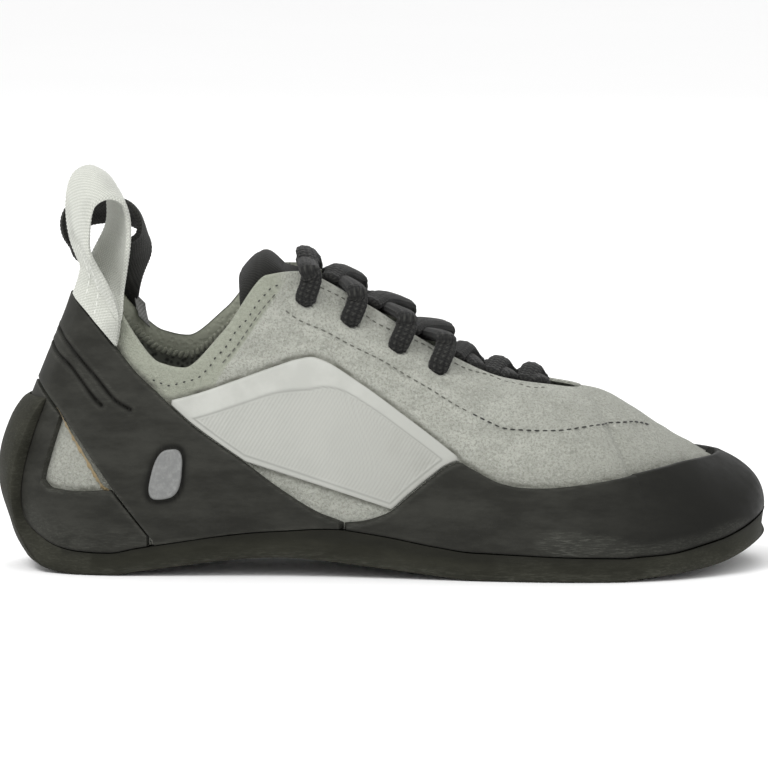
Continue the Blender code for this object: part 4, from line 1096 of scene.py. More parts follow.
def layer_between(stations, low, high, rows, crowd=0.6):
    """A grid on the last between two edges, with the distance of each point to the borders."""
    station = np.asarray(stations, float)[:, None]
    share = spaced(rows, crowd)[None, :]
    rise = between(low(station), high(station), share)
    station = station + 0.0 * rise
    points = skin(station, rise)
    across = travelled(points, 1)
    along = travelled(points, 0)
    from_ends = np.minimum(along, along[-1:] - along)
    return Layer(station, rise, points, across, across[:, -1:] - across, from_ends)


def layer_piece(name, layer, thickness, rounds, relief, finish, node, marks):
    """Turns a layer into a piece; rounds are the edge radii at the low, high and end borders."""
    shape = np.ones(layer.points.shape[:-1])
    for distance, radius in zip((layer.from_low, layer.from_high, layer.from_ends), rounds):
        shape = shape * rounded(distance, 1.0, radius)
    lift = BASE_LIFT + (thickness - BASE_LIFT) * shape + relief * ramp(shape, 0.5, 1.0)
    outer = on_last(layer.station, layer.rise, np.maximum(lift, BASE_LIFT))
    inner = on_last(layer.station, layer.rise, np.full(lift.shape, BASE_LIFT))
    border = shape <= 0.0
    inner[border] = outer[border]
    points, faces = pinched(outer, inner)
    return make_piece(name, points, faces, [finish], node, node, twice(marks))


# %% Where the rubber bands run
WINDOW_START = 1.85
WINDOW_CORNER = 0.10
SLING_CORNER = 0.025
RANDS_MEET = 7.6
BLUNT_END = 0.0016


def seat(station):
    return rise_of_seat(station, RUBBER_LIFT)


def edge_gap(station):
    foot, low, high, top = section(station)
    return GAP / (top[..., 2] - foot[..., 2])


def at_least_blunt(rise, station):
    """Keeps a rand as tall as its blunt end above the sole."""
    return np.maximum(rise, seat(station) + edge_gap(station) * BLUNT_END / GAP)


def heel_rand_high(station):
    top = rise_of_edge(sling_lower, station) - edge_gap(station)
    sill = np.minimum(top, rise_of_edge(window_sill, station))
    start = WINDOW_START + WINDOW_CORNER / 2
    return between(top, sill, ramp(np.abs(station), start - 0.05, start + 0.05))


def heel_rand_room(station):
    low = on_last(station, seat(station), RUBBER_LIFT)
    high = on_last(station, heel_rand_high(station), RUBBER_LIFT)
    return BLUNT_END - (high[..., 2] - low[..., 2])


def gap_in_stations(station):
    """How much of a station the gap of a joint takes up."""
    return GAP / float(foot_x(station + 0.5) - foot_x(station - 0.5))


HEEL_RAND_END = float(find_share(heel_rand_room, 3.0, 6.0, 0.0))
SLING_STEP = HEEL_RAND_END + gap_in_stations(5.0)


def sling_low(station):
    edge = np.maximum(rise_of_edge(sling_lower, station), seat(station))
    return between(edge, seat(station), ramp(np.abs(station), SLING_STEP, SLING_STEP + SLING_CORNER))


def sling_high(station):
    return at_least_blunt(rise_of_edge(sling_top, station), station)


def toe_rand_high(station):
    return at_least_blunt(rise_of_edge(toe_rand_top, station), station)


def both_ways(end, columns, corners=()):
    """Stations over the heel back from one side to the other, with extra ones at corners."""
    half = np.linspace(0.0, end, columns)
    extra = [corner + step for corner in corners for step in np.linspace(-0.06, 0.10, 9)]
    half = np.unique(np.round(np.concatenate([half, extra]), 5))
    half = half[half <= end]
    return np.concatenate([-half[:0:-1], half])


print("the heel rand runs out at station", round(HEEL_RAND_END, 2))

# %% [markdown]
# The heel rand is a cup of rubber pulled round the heel. Its top edge leaves a window on each side where
# the suede shows, and its lower edge stands on the sole, with some dirt in the joint.

# %% Heel rand
HEEL_RAND_COLUMNS = 110
HEEL_RAND_ROWS = 44
CUT_EDGE = 0.0009
LAP_EDGE = 0.0004
SEAT_EDGE = 0.0004


def rubber_relief(points):
    """Rubber stretched by hand is never quite even."""
    return lumps(points, 0.020, 5.7) * 0.00016 + lumps(points, 0.005, 2.2) * 0.00005


layer = layer_between(
    both_ways(HEEL_RAND_END, HEEL_RAND_COLUMNS, (WINDOW_START,)), seat, heel_rand_high, HEEL_RAND_ROWS
)
worn = 0.45 * close_to(layer.from_high, 0.0004, 0.0022) + 0.25 * close_to(layer.from_low, 0.002, 0.012)
dirt_and_painted_light = 0.7 * close_to(layer.from_low, 0.0, 0.0014)
layer_piece(
    "heel_rand_rubber", layer, RUBBER_LIFT, (SEAT_EDGE, LAP_EDGE, LAP_EDGE), rubber_relief(layer.points),
    rand_rubber, "heel_rand", {"worn": worn, "dirt_and_painted_light": dirt_and_painted_light},
)

# %% [markdown]
# The sling is a band under tension, from above the heel down to the arch, that pushes the foot forward.
# Two moulded grooves run down it on each side, and a soft frame is pressed in round the plate's place;
# both are painted dark, as painted shade in the hollows.

# %% Heel sling with its two grooves
SLING_HEEL_COLUMNS = 180
SLING_ARCH_COLUMNS = 56
SLING_HEEL_END = 4.2
SLING_ROWS = 74
GROOVE_A = ((20.5, 79), (21, 77), (25, 71), (32, 63), (38, 56), (43, 53))
GROOVE_B = ((18.5, 75), (20, 70), (25, 65), (31, 57), (34, 54))
BADGE_MIDDLE = (-4.86, 0.40)
BADGE_HALF = (0.30, 0.14)
FRAME_SIZE = 1.10
FRAME_WIDTH = 0.0009
FRAME_DEPTH = 0.0004
GROOVE_WIDTH = 0.00048
GROOVE_DEPTH = 0.0011


def plate_curve(size, angle):
    """Stations and rises of the plate's outline, a circle drawn out towards a square."""
    bulge = size * (np.abs(np.cos(angle)) ** 3 + np.abs(np.sin(angle)) ** 3) ** (-1 / 3)
    return [BADGE_MIDDLE[k] + BADGE_HALF[k] * bulge * turn(angle) for k, turn in enumerate((np.cos, np.sin))]


over_heel = np.linspace(0.0, SLING_HEEL_END, SLING_HEEL_COLUMNS)
over_arch = np.linspace(SLING_HEEL_END, RANDS_MEET, SLING_ARCH_COLUMNS)
corner = SLING_STEP + np.linspace(-0.01, 0.04, 6)
half = np.unique(np.round(np.concatenate([over_heel, over_arch[1:], corner]), 4))
stations = np.concatenate([-half[:0:-1], half])
layer = layer_between(stations, sling_low, sling_high, SLING_ROWS, 0.4)
relief = rubber_relief(layer.points)
worn = 0.40 * close_to(layer.from_high, 0.0003, 0.0020) + 0.35 * close_to(layer.from_low, 0.0003, 0.0020)
dirt_and_painted_light = np.zeros(layer.points.shape[:-1])
for groove in (GROOVE_A, GROOVE_B):
    for side in (-1, 1):
        near = nearness(layer.points, skin(*drawn(groove, side)))
        relief = relief + furrow(near, GROOVE_WIDTH, GROOVE_DEPTH, 0.10)
        # Painted shade: the grooves are painted dark.
        dirt_and_painted_light = np.maximum(dirt_and_painted_light, bell(near, 1.1 * GROOVE_WIDTH))
        worn = worn + 0.25 * bell(near - 0.0015, 0.0005)
# Painted shade: the frame pressed in round the plate is painted dark.
near = nearness(layer.points, skin(*plate_curve(FRAME_SIZE, np.linspace(0.0, 2 * np.pi, 160))))
frame = bell(near, FRAME_WIDTH)
layer_piece(
    "heel_sling_rubber", layer, RUBBER_LIFT, (LAP_EDGE, CUT_EDGE, LAP_EDGE), relief - FRAME_DEPTH * frame,
    rand_rubber, "heel_sling", {"worn": worn, "dirt_and_painted_light": np.maximum(dirt_and_painted_light, frame)},
)

# %% [markdown]
# The toe rand wraps the toe and runs back along both sides. Its lower part is ground after gluing, so
# it is paler and rougher there: a mark tells the finish where, and the layer is a little thinner.

# %% Toe rand, ground rough over the toe
TOE_COLUMNS = 520
TOE_ROWS_ACROSS = 46
BUFFED_TOP = (
    (168, 10), (175, 16), (185, 15.5), (195, 15), (208, 13), (220, 14), (227, 15), (233, 16), (240, 17),
    (245, 16), (250, 16),
)
buffed_top = smooth_curve([spot[0] * MM for spot in BUFFED_TOP], [spot[1] * MM for spot in BUFFED_TOP])
half = np.linspace(RANDS_MEET + gap_in_stations(RANDS_MEET), float(TIP), TOE_COLUMNS // 2)
stations = np.concatenate([half, -half[-2::-1]])
layer = layer_between(stations, seat, toe_rand_high, TOE_ROWS_ACROSS)
x = layer.points[..., 0]
z = layer.points[..., 2] + lumps(layer.points, 0.012, 4.0) * 0.0016
buffed = (1.0 - ramp(z - buffed_top(x), -0.0022, 0.0010)) * ramp(x, 0.168, 0.182)
worn = 0.95 * buffed + 0.35 * close_to(layer.from_high, 0.0004, 0.0022)
# Darker along the sole and towards the toe tip.
dirt_and_painted_light = 0.6 * close_to(layer.from_low, 0.0, 0.0012)
dirt_and_painted_light = dirt_and_painted_light + 0.85 * ramp(x, 0.66 * LENGTH, 0.93 * LENGTH) * (1.0 - 0.35 * buffed)
relief = rubber_relief(layer.points) - 0.00018 * buffed
layer_piece(
    "toe_rand_rubber", layer, RUBBER_LIFT, (SEAT_EDGE, 0.0016, LAP_EDGE), relief, rand_rubber, "toe_rand",
    {"worn": worn, "dirt_and_painted_light": dirt_and_painted_light},
)

# %% [markdown]
# ## Side panels
# A smooth synthetic panel is welded over the midfoot on both sides. Its border is plain, and the
# field inside is embossed with fine slanting lines. We press the field a little and add the lines as
# real relief, close enough together to catch the light.

# %% Build the side panels
PANEL_STARTS = (3.0, 5.5)
PANEL_MIDDLE = 8.0
PANEL_ENDS = (8.5, 12.0)
PANEL_COLUMNS = 300
PANEL_ROWS = 84
FIELD_BORDER = 0.0085
FIELD_CORNER = 0.0026
PANEL_PEAK = 0.102
FIELD_PRESS = 0.00022
LINE_PITCH = 0.0011
LINE_HEIGHT = 0.00007
LINE_TURN = math.radians(58)


def panel_low(station):
    sling = rise_of_edge(sling_top, station)
    rand = np.where(np.abs(station) > PANEL_MIDDLE, rise_of_edge(toe_rand_top, station), 0.0)
    return np.maximum(np.maximum(sling, rand), rise_of_edge(panel_lower, station)) + edge_gap(station)


def panel_high(station):
    return rise_of_edge(panel_top, station)


def panel_room(station):
    high = skin(station, panel_high(station))
    return high[..., 2] - skin(station, panel_low(station))[..., 2] - BLUNT_END


for name, side in (("side_panel_lateral", -1), ("side_panel_medial", 1)):
    start = float(find_share(lambda reach: panel_room(side * reach), *PANEL_STARTS, 0.0))
    end = float(find_share(lambda reach: -panel_room(side * reach), *PANEL_ENDS, 0.0))
    stations = side * np.linspace(start, end, PANEL_COLUMNS)
    layer = layer_between(stations, panel_low, panel_high, PANEL_ROWS, 0.3)
    x, z = layer.points[..., 0], layer.points[..., 2]
    border = FIELD_BORDER + FIELD_CORNER * bell(x - PANEL_PEAK, 0.009)
    inside = np.minimum(layer.from_high - border, layer.from_low - 0.3 * FIELD_BORDER)
    inside = np.minimum(inside, layer.from_ends - 0.7 * FIELD_BORDER)
    field = ramp(inside, 0.0, 0.0007)
    wave = np.sin(2 * math.pi * (x * math.sin(LINE_TURN) - z * math.cos(LINE_TURN)) / LINE_PITCH)
    groove = bell(inside + 0.0004, 0.00045)
    relief = lumps(layer.points, 0.014, 8.0) * 0.00018 - FIELD_PRESS * field + LINE_HEIGHT * wave * field
    relief = relief - 0.00016 * groove
    # Darker towards the front, along the lower edge and over the embossed field.
    dirt_and_painted_light = 0.30 * ramp(x, 0.40 * LENGTH, 0.62 * LENGTH) + 0.25 * close_to(layer.from_low, 0.0, 0.003)
    # Painted shade: darker in the groove round the field and in the troughs between the embossed lines.
    shade = 0.7 * groove + 0.30 * field * np.clip(-wave, 0.0, 1.0)
    layer_piece(
        name + "_skin", layer, LAYER_GAP + PANEL_THICKNESS, (0.0006, 0.0010, 0.0010), relief,
        panel_finish, name, {"groove": shade, "dirt_and_painted_light": dirt_and_painted_light + 0.16 * field},
    )

# %% [markdown]
# ## The sole
# One sheet of climbing rubber runs from a thin edge high on the heel back, round under the heel, over
# the arch and on to the toe. We rebuild it ring by ring with a buffed lower edge, a real quarter
# round of about two millimetres, because that edge catches the light all along the floor.

# %% Rings of the sole
SOLE_EDGE_HEIGHT = 0.0024
SOLE_EDGE_INSET = 0.0014
HEEL_ROWS = (
    (1.33, 0.98), (1.45, 0.93), (1.60, 0.87), (1.75, 0.80), (2.10, 0.62), (2.50, 0.40), (2.90, 0.18),
    (3.30, 0.00),
)
TOE_ROWS = (
    (13.6, 0.00), (14.3, 0.04), (15.0, 0.12), (15.6, 0.25), (16.1, 0.42), (16.5, 0.62), (16.9, 1.00),
)
SOLE_ACROSS = 20
WRAP_ROWS = 34
ROW_STEP = 0.09
TOE_RING_COUNT = 48
JOIN_SPAN = 11
JOIN_ROUNDS = 14
SOLE_OFFSET = LAYER_GAP + RAND_THICKNESS + SOLE_MARGIN
heel_bend = smooth_curve(*zip(*HEEL_ROWS))
toe_bend = smooth_curve(*zip(*TOE_ROWS))
sole_shares = np.linspace(-1.0, 1.0, SOLE_ACROSS + 1)


def outline(station, offset):
    """Points of the last's outline at the sole, moved outwards."""
    flat = np.stack([foot_x(station), foot_y(station), 0.0 * station], -1)
    return (flat + outward(station) * offset)[..., :2]


def heel_wrap_rings():
    """The sheet up the heel back, thin at its top edge."""
    lift = LAYER_GAP + RAND_THICKNESS + GAP
    station = sole_shares * HEEL_WRAP_HALF_WIDTH
    start = find_share(
        lambda rise: on_last(station, rise, lift)[..., 2] - HEEL_WRAP_HEIGHT, 0.0, 1.0, station
    )
    thickness = smooth_curve((0.0, 0.05, 0.25, 0.55, 1.0), (0.10, 0.42, 0.84, 1.0, 0.80))
    rings = []
    for share in np.linspace(0.0, 1.0, WRAP_ROWS + 1):
        rise = between(start, rise_of_seat(station, lift), share)
        thick = HEEL_WRAP_THICKNESS * float(thickness(share))
        rings.append((on_last(station, rise, lift), on_last(station, rise, lift + thick)))
    return rings


def sole_ring(reach, bend, from_toe):
    """Upper and lower points of one row of the sole; the heel thickens square to its cup."""
    ends = outline(np.array([-reach, reach]), SOLE_OFFSET)
    straight = between(ends[0], ends[1], (sole_shares[:, None] + 1.0) / 2)
    round_toe = np.copysign(TIP - np.abs(sole_shares) * (TIP - reach), sole_shares)
    flat = between(straight, outline(round_toe if from_toe else sole_shares * reach, SOLE_OFFSET), bend)
    x = flat[:, 0]
    square = 0.0 if from_toe else min(1.0, 1.4 * bend)
    tilt = np.arctan((sole_top(x + 0.0005) - sole_top(x - 0.0005)) / 0.001) * square
    thinned = thickness_at(x) * (1.0 - HEEL_THINNING * ramp(0.0 if from_toe else bend, 0.5, 1.0))
    depth = between(sole_top(x) - sole_bottom(x), thinned, square)
    inner = np.stack([x, flat[:, 1], sole_top(x)], -1)
    return inner, inner + np.stack([np.sin(tilt) * depth, 0.0 * x, -np.cos(tilt) * depth], -1)


def closed_ring(inner, outer):
    """The outline of one row: top, side wall, rounded lower edge, underside and back up."""
    parts = [inner]
    for end, order in ((-1, 1), (0, -1)):
        drop = outer[end] - inner[end]
        depth = np.linalg.norm(drop)
        middle = inner[end] + drop * max(0.4, 1.0 - SOLE_EDGE_HEIGHT / depth)
        inset = SOLE_EDGE_INSET * min(1.0, depth / SOLE_THICKNESS)
        inward = np.array([0.0, -math.copysign(inset, outer[end][1]), 0.0])
        down = outer[end] - middle
        wall = [between(inner[end], middle, share) for share in (0.08, 0.3, 0.6, 1.0)]
        angles = np.linspace(0.3, math.pi / 2, 5)
        turn = [middle + inward * (1 - math.cos(angle)) + down * math.sin(angle) for angle in angles]
        parts.append(np.array((wall + turn)[::order]))
    return np.concatenate([parts[0], parts[1], outer[-2:0:-1], parts[2]])


# %% Build the outsole
rings = heel_wrap_rings()
for reach in np.arange(HEEL_ROWS[0][0], HEEL_ROWS[-1][0], ROW_STEP):
    rings.append(sole_ring(reach, float(heel_bend(reach)), False))
for reach in np.arange(HEEL_ROWS[-1][0], TOE_ROWS[0][0], ROW_STEP):
    rings.append(sole_ring(reach, 0.0, False))
for reach in np.linspace(TOE_ROWS[0][0], TOE_ROWS[-1][0], TOE_RING_COUNT):
    rings.append(sole_ring(reach, float(toe_bend(reach)), True))
stack = np.stack([closed_ring(inner, outer) for inner, outer in rings])
size = stack.shape[1]
first, last = WRAP_ROWS - JOIN_SPAN, WRAP_ROWS + JOIN_SPAN + 1
for _ in range(JOIN_ROUNDS):
    before, here, after = (stack[first + k:last + k, SOLE_ACROSS + 1:] for k in (-1, 0, 1))
    stack[first:last, SOLE_ACROSS + 1:] = 0.5 * here + 0.25 * (before + after)
faces = [list(quad) for quad in tube_faces(len(stack), size)]
for first in (0, (len(stack) - 1) * size):
    faces.append([first + k for k in range(size)])
flat = stack.reshape(-1, 3)
wear = lumps(flat, 0.010, 6.0) * 0.5 + 0.5
outline_height = flat[:, 2] - sole_bottom(flat[:, 0])
worn = 0.85 * bell(outline_height - 0.0006, 0.0016) * (0.5 + 0.5 * wear)
x = flat[:, 0]
worn = worn * (x > 0.03) + 0.25 * wear * (x > 0.16) + 0.25 * (x < 0.03)
# Darker from about six millimetres above the sole's bottom upwards.
dirt_and_painted_light = 0.45 * ramp(outline_height, 0.0055, 0.0075) * (x > 0.02)
marks = {"worn": worn, "dirt_and_painted_light": dirt_and_painted_light}
make_piece("outsole_rubber", flat, faces, [sole_rubber], "outsole", "outsole", marks, sharp=35.0)

# %% [markdown]
# The footbed is a thin board covered with cloth. Only a little of it shows through the collar, so a
# plain slab between two outlines is enough, with its edge rounded down.

# %% Footbed
INSOLE_THICKNESS = 0.0016
FOOTBED_ACROSS = 24
FOOTBED_EDGE = 0.0007
stations = np.linspace(1.3, 17.2, 160)
inset = -(UPPER_WALL + SOFT_GAP)
ends = [outline(side * stations, inset) for side in (-1.0, 1.0)]
share = np.linspace(0.0, 1.0, FOOTBED_ACROSS + 1)
flat = between(ends[0][:, None, :], ends[1][:, None, :], share[None, :, None])
top = sole_top(flat[..., 0]) + GAP + INSOLE_THICKNESS
edge = np.abs(2.0 * share - 1.0)[None, :]
rounding = FOOTBED_EDGE * ramp(edge, 0.94, 1.0)
upper_side = np.concatenate([flat, (top - rounding)[..., None]], -1)
lower_side = np.concatenate([flat, (top - INSOLE_THICKNESS)[..., None]], -1)
make_piece("footbed", *slab(upper_side, lower_side), [footbed_cloth], "insole", "insole")

# %% [markdown]
# ## Tongue
# The tongue is padded cloth that the laces press flat; above them it springs up behind the collar. It
# is one row of sections between the two edges of the throat. We puff it between its sewn channels.

# %% Build the tongue
TONGUE_START = 6.4
TONGUE_END = 12.2
TONGUE_ROWS = 150
CHANNEL_PITCH = 0.0095
PUFF = 0.0007
TONGUE_EDGE = 0.0017
HIDDEN_RISES = np.linspace(0.80, 0.975, 6)
SHOWN_SHARES = np.linspace(0.0, 1.0, 33)


def tongue_arch(reach):
    return between(0.34, 0.05, ramp(reach, THROAT_TOP - 0.7, THROAT_TOP + 0.3))


def tongue_bridge(reach, lift, arch, share):
    """Points of the tongue between the edges of the throat, share 0 on the outer side."""
    ends = []
    handles = []
    for station in (-reach, reach):
        end = on_last(station, 0.99, lift)
        ends.append(end)
        handles.append(unit(end - on_last(station, 0.90, lift)))
    pull = np.linalg.norm(ends[1] - ends[0]) * arch
    share = np.atleast_1d(share)[:, None]
    rest = 1.0 - share
    first = rest**3 * ends[0] + 3 * rest * rest * share * (ends[0] + handles[0] * pull)
    return first + 3 * rest * share * share * (ends[1] + handles[1] * pull) + share**3 * ends[1]


def tongue_row(reach, lift):
    """One section: hidden under one side of the upper, over the foot and under the other side."""
    sides = [on_last(station, HIDDEN_RISES, lift) for station in (-reach, reach)]
    middle = tongue_bridge(reach, lift, float(tongue_arch(reach)), SHOWN_SHARES)
    return np.concatenate([sides[0], middle, sides[1][::-1]])


reaches = np.linspace(TONGUE_START, TONGUE_END, TONGUE_ROWS)
outer_lift = -(UPPER_WALL + SOFT_GAP)
outer = np.stack([tongue_row(reach, outer_lift) for reach in reaches])
inner = np.stack([tongue_row(reach, outer_lift - TONGUE_THICKNESS) for reach in reaches])
along = travelled(outer, 0)
across = travelled(outer, 1)
depth = unit(inner - outer)
edge = edge_distance(outer)
channel = np.abs(np.sin(math.pi * along / CHANNEL_PITCH)) ** 0.5
puff = PUFF * (channel - 1.0) + lumps(outer, 0.008, 1.0) * 0.0002
pull = TONGUE_THICKNESS / 2 * (1.0 - np.sqrt(1.0 - (1.0 - np.clip(edge / TONGUE_EDGE, 0.0, 1.0)) ** 2))
front = outer + depth * (pull - puff * ramp(edge, 0.001, 0.004))[..., None]
rear = inner - depth * pull[..., None]
points, faces = pinched(front, rear)
marks = twice({"along": along, "across": across, "dirt_and_painted_light": 0.0 * along})
tongue_piece = make_piece("tongue_padding", points, faces, [tongue_cloth], "tongue", "tongue", marks)

# %% [markdown]
# ## Lace
# One woven lace crosses the tongue seven times; pulled tight it is about 7 mm wide and 4 mm thick.
# The four upper crossings come from under one edge of the throat, run over the other and dive into
# an eyelet; the three lower ones stay between the edges. The strand is an oval tube whose surface is
# a braid: ribs along it, and on each rib threads that slant against those of the next.

# %% A braided strand
LACE_START = 0.24
LACE_SIDES = 48
LACE_FULL_WIDTH = 0.0069
BRAID_STEP = 0.00034
BRAID_PITCH = 0.0014
BRAID_RIBS = 10
BRAID_HEIGHT = 0.00040
LACE_UNDER = 0.36
# The third mark holds the painted highlight on the threads' crests.
BRAID_MARKS = ("along", "across", "dirt_and_painted_light")
ROUGH_STEPS = 60


def above_tongue(x, share, lift):
    reach = throat_station(x)
    point = tongue_bridge(reach, outer_lift, float(tongue_arch(reach)), share)[0]
    return point + np.array((0.0, 0.0, lift))


def lace_route(x, lean, start_side, lift_more, over_edge):
    """Chosen places of one strand, with the direction that its flat side faces at each."""
    clear = LACE_THICKNESS / 2 + LACE_CLEAR
    station = -start_side * throat_station(x)
    up = np.array((0.3, 0.0, 1.0))
    places = [above_tongue(x - lean * 1.25, 0.5 + start_side * LACE_UNDER, clear * 0.55)]
    places.append(above_tongue(x - lean, 0.5 + start_side * LACE_START, clear))
    places.append(above_tongue(x - lean / 2, 0.5, clear + lift_more))
    facing = [up, up, up]
    if over_edge:
        down = eyelet_rise(station)
        side_up = normal_at(station, 0.9)
        over = LACE_THICKNESS / 2 + LACE_EDGE_CLEAR
        flat = LACE_THICKNESS / 2
        for share, lift, shift in (
            (0.0, over, 0.0006), (0.30, flat + 0.0022, 0.0015), (0.62, flat + 0.0012, 0.0010),
            (0.88, flat - 0.0004, 0.0), (1.08, -0.0022, -0.0006),
        ):
            there = -start_side * throat_station(x + shift)
            places.append(on_last(there, between(0.99, down, share), lift))
        facing += [between(up, side_up, 0.6), side_up, side_up, side_up, side_up]
    else:
        places.append(above_tongue(x, 0.5 - start_side * LACE_START, clear))
        places.append(above_tongue(x + lean * 0.3, 0.5 - start_side * (LACE_UNDER + 0.06), clear * 0.7))
        facing += [up, up]
    return places, facing


def braid_strand(places, facing):
    """Points, faces and marks of a closed oval tube along a smooth route: the weave, and a painted highlight
    on the threads' crests.
    """
    rough = through(places, ROUGH_STEPS)
    length = travelled(rough[None], 1)[0]
    even = np.linspace(0.0, length[-1], int(length[-1] / BRAID_STEP) + 1)
    path = read_at(rough, length, even)
    up = read_at(through(facing, ROUGH_STEPS), length, even)
    ahead = unit(np.gradient(path, axis=0))
    across = unit(np.cross(up, ahead))
    up = np.cross(ahead, across)
    angle = np.linspace(0.0, 2 * np.pi, LACE_SIDES, endpoint=False)[None, :]
    zigzag = np.abs((angle * BRAID_RIBS / np.pi) % 2.0 - 1.0)
    threads = np.abs(np.sin(np.pi * (even[:, None] / BRAID_PITCH + 0.55 * zigzag)))
    threads = np.sqrt(threads) * (0.30 + 0.70 * np.abs(np.sin(angle * BRAID_RIBS / 2)) ** 0.6)
    swell_here = (threads - 0.7) * BRAID_HEIGHT
    end = np.minimum(even, even[-1] - even)[:, None]
    closed = rounded(end, 1.0, 0.0015)
    wide = (LACE_FULL_WIDTH / 2 + swell_here) * closed
    high = (LACE_THICKNESS / 2 + swell_here) * closed
    points = path[:, None] + across[:, None] * (np.cos(angle) * wide)[..., None]
    points = points + up[:, None] * (np.sin(angle) * high)[..., None]
    faces = tube_faces(len(points), LACE_SIDES)
    along = even[:, None] + angle * LACE_WIDTH / 4
    over = even[:, None] - angle * LACE_WIDTH / 4
    # Painted highlight: the crests of the threads are stored as the third mark and painted lighter.
    crest_highlight = 0.75 * ramp(threads, 0.80, 1.0)
    return points.reshape(-1, 3), faces, along.ravel(), over.ravel(), crest_highlight.ravel()


# %% Build the lace rows
for number, row in enumerate(LACE_ROWS, 1):
    x, lean = row.along * LENGTH, row.lean * LENGTH
    strands = [
        braid_strand(*lace_route(x, lean, 1, 0.0, row.over_edge)),
        braid_strand(*lace_route(x, lean, -1, LACE_THICKNESS * 0.7, row.over_edge)),
    ]
    first = len(strands[0][0])
    points = np.concatenate([strand[0] for strand in strands])
    faces = np.concatenate([strands[0][1], strands[1][1] + first])
    marks = {key: np.concatenate([strand[k] for strand in strands]) for k, key in enumerate(BRAID_MARKS, 2)}
    name = f"lace_row_{number}"
    make_piece(name + "_braid", points, faces, [lace_braid], name, name, marks)

# %% [markdown]
# ## Pull loops
# Two straps of webbing are sewn flat to the back of the collar and stand up as open loops: a light
# one on the outer side, a dark one on the inner side. Each is one ribbon folded over, with cross ribs.

# %% Shape of a loop
LoopShape = namedtuple("LoopShape", "first last rise spread facing")
LIGHT_LOOP = LoopShape(-0.62, -2.72, 0.0340, 0.0130, 24.0)
DARK_LOOP = LoopShape(0.70, 3.10, 0.0240, 0.0240, -8.0)
LOOP_LINE = (
    (0.00, 0.00), (0.10, 0.26), (0.26, 0.64), (0.46, 0.94), (0.66, 1.00), (0.84, 0.84), (0.95, 0.50),
    (1.00, 0.00),
)
LOOP_ACROSS = 26
LOOP_STEP = 0.00028
RIB_PITCH = 0.00125
RIB_HEIGHT = 0.00008


def level_normal(station):
    return unit(normal_at(station, 0.95) * np.array((1.0, 1.0, 0.0)))


def loop_half(shape):
    """The strap's middle line from its foot to its top: distance from the middle, and height."""
    spread = (shape.spread - WEBBING_THICKNESS) / 2
    rise = shape.rise - WEBBING_THICKNESS / 2
    foot = WEBBING_THICKNESS / 2 + LAYER_GAP
    line = np.array([(foot + wide * spread, high * rise) for high, wide in LOOP_LINE])
    line[-1, 0] = 0.0
    full = np.concatenate([line, [(-half, height) for half, height in line[-2::-1]]])
    return through(full, 150)


def strap_place(shape, share, half, height):
    """Points of a free strap: it leaves the collar's curve and flattens as it rises."""
    middle = (shape.first + shape.last) / 2
    station = between(shape.first, shape.last, share)
    off_collar = GAP + SOFT_GAP + WEBBING_THICKNESS
    rim = skin(station, 1.0)
    centre = skin(middle, 1.0)
    angle = math.radians(shape.facing)
    facing = np.array((-math.cos(angle), -math.sin(angle), 0.0))
    across = np.array((-facing[1], facing[0], 0.0)) * math.copysign(1.0, -middle)
    half, height = half[:, None], height[:, None]
    curved = rim + level_normal(station) * (off_collar + half)
    flat = centre + level_normal(middle) * off_collar + facing * half + across * (share - 0.5) * WEBBING_WIDTH
    flat[:, 2] = between(centre[2], rim[2], 0.55)
    point = between(curved, flat, ramp(height / shape.rise, 0.06, 0.50))
    point[:, 2] += height[:, 0]
    return point


def strap_line(shape, share):
    """The middle line of the folded strap at one place across: up outside, over and down inside."""
    station = between(shape.first, shape.last, share)
    stem = np.linspace(float(sling_high(station) + 1.5 * edge_gap(station)), 0.975, 14)
    clear = GAP + SOFT_GAP
    outside = on_last(station, stem, clear + 1.5 * WEBBING_THICKNESS)
    inside = on_last(station, stem, clear + 0.5 * WEBBING_THICKNESS)
    half, height = loop_half(shape).T
    return np.concatenate([outside, strap_place(shape, share, half, height), inside[::-1]])


# %% Build the loops
loop_lines = {}
shares = np.linspace(0.0, 1.0, LOOP_ACROSS + 1)
for node, shape, finish in (
    ("pull_loop_light", LIGHT_LOOP, light_webbing), ("pull_loop_dark", DARK_LOOP, dark_webbing),
):
    longest = travelled(strap_line(shape, 0.5)[None], 1)[0, -1]
    count = int(longest / LOOP_STEP)
    grid = np.stack([evenly(strap_line(shape, share), count) for share in shares], 1)
    normal = unit(np.cross(np.gradient(grid, axis=1), np.gradient(grid, axis=0)))
    if (normal[3, LOOP_ACROSS // 2] @ normal_at((shape.first + shape.last) / 2, 0.9)) < 0:
        normal = -normal
    along = travelled(grid, 0)
    across = travelled(grid, 1)
    border = edge_distance(grid)
    ribs = RIB_HEIGHT * np.sin(2 * math.pi * along / RIB_PITCH)
    half = (WEBBING_THICKNESS / 2) * rounded(border, 1.0, 0.0007)
    ribbed = half + ribs * (half > 0.0003)
    sag = lumps(grid, 0.012, 2.7) * 0.0005
    outer = grid + normal * (ribbed + sag)[..., None]
    inner = grid - normal * (ribbed - sag)[..., None]
    points, faces = pinched(outer, inner)
    marks = twice({"along": along, "across": across, "dirt_and_painted_light": 0.35 * np.clip(lumps(grid, 0.008, 5.0), 0, 1)})
    make_piece(node + "_webbing", points, faces, [finish], node, node, marks)
    loop_lines[node] = (grid, normal, half)

# %% [markdown]
# ## Plate on the heel
# A small plain plate sits on the sling. It is pressed from smooth grey plastic and bare.

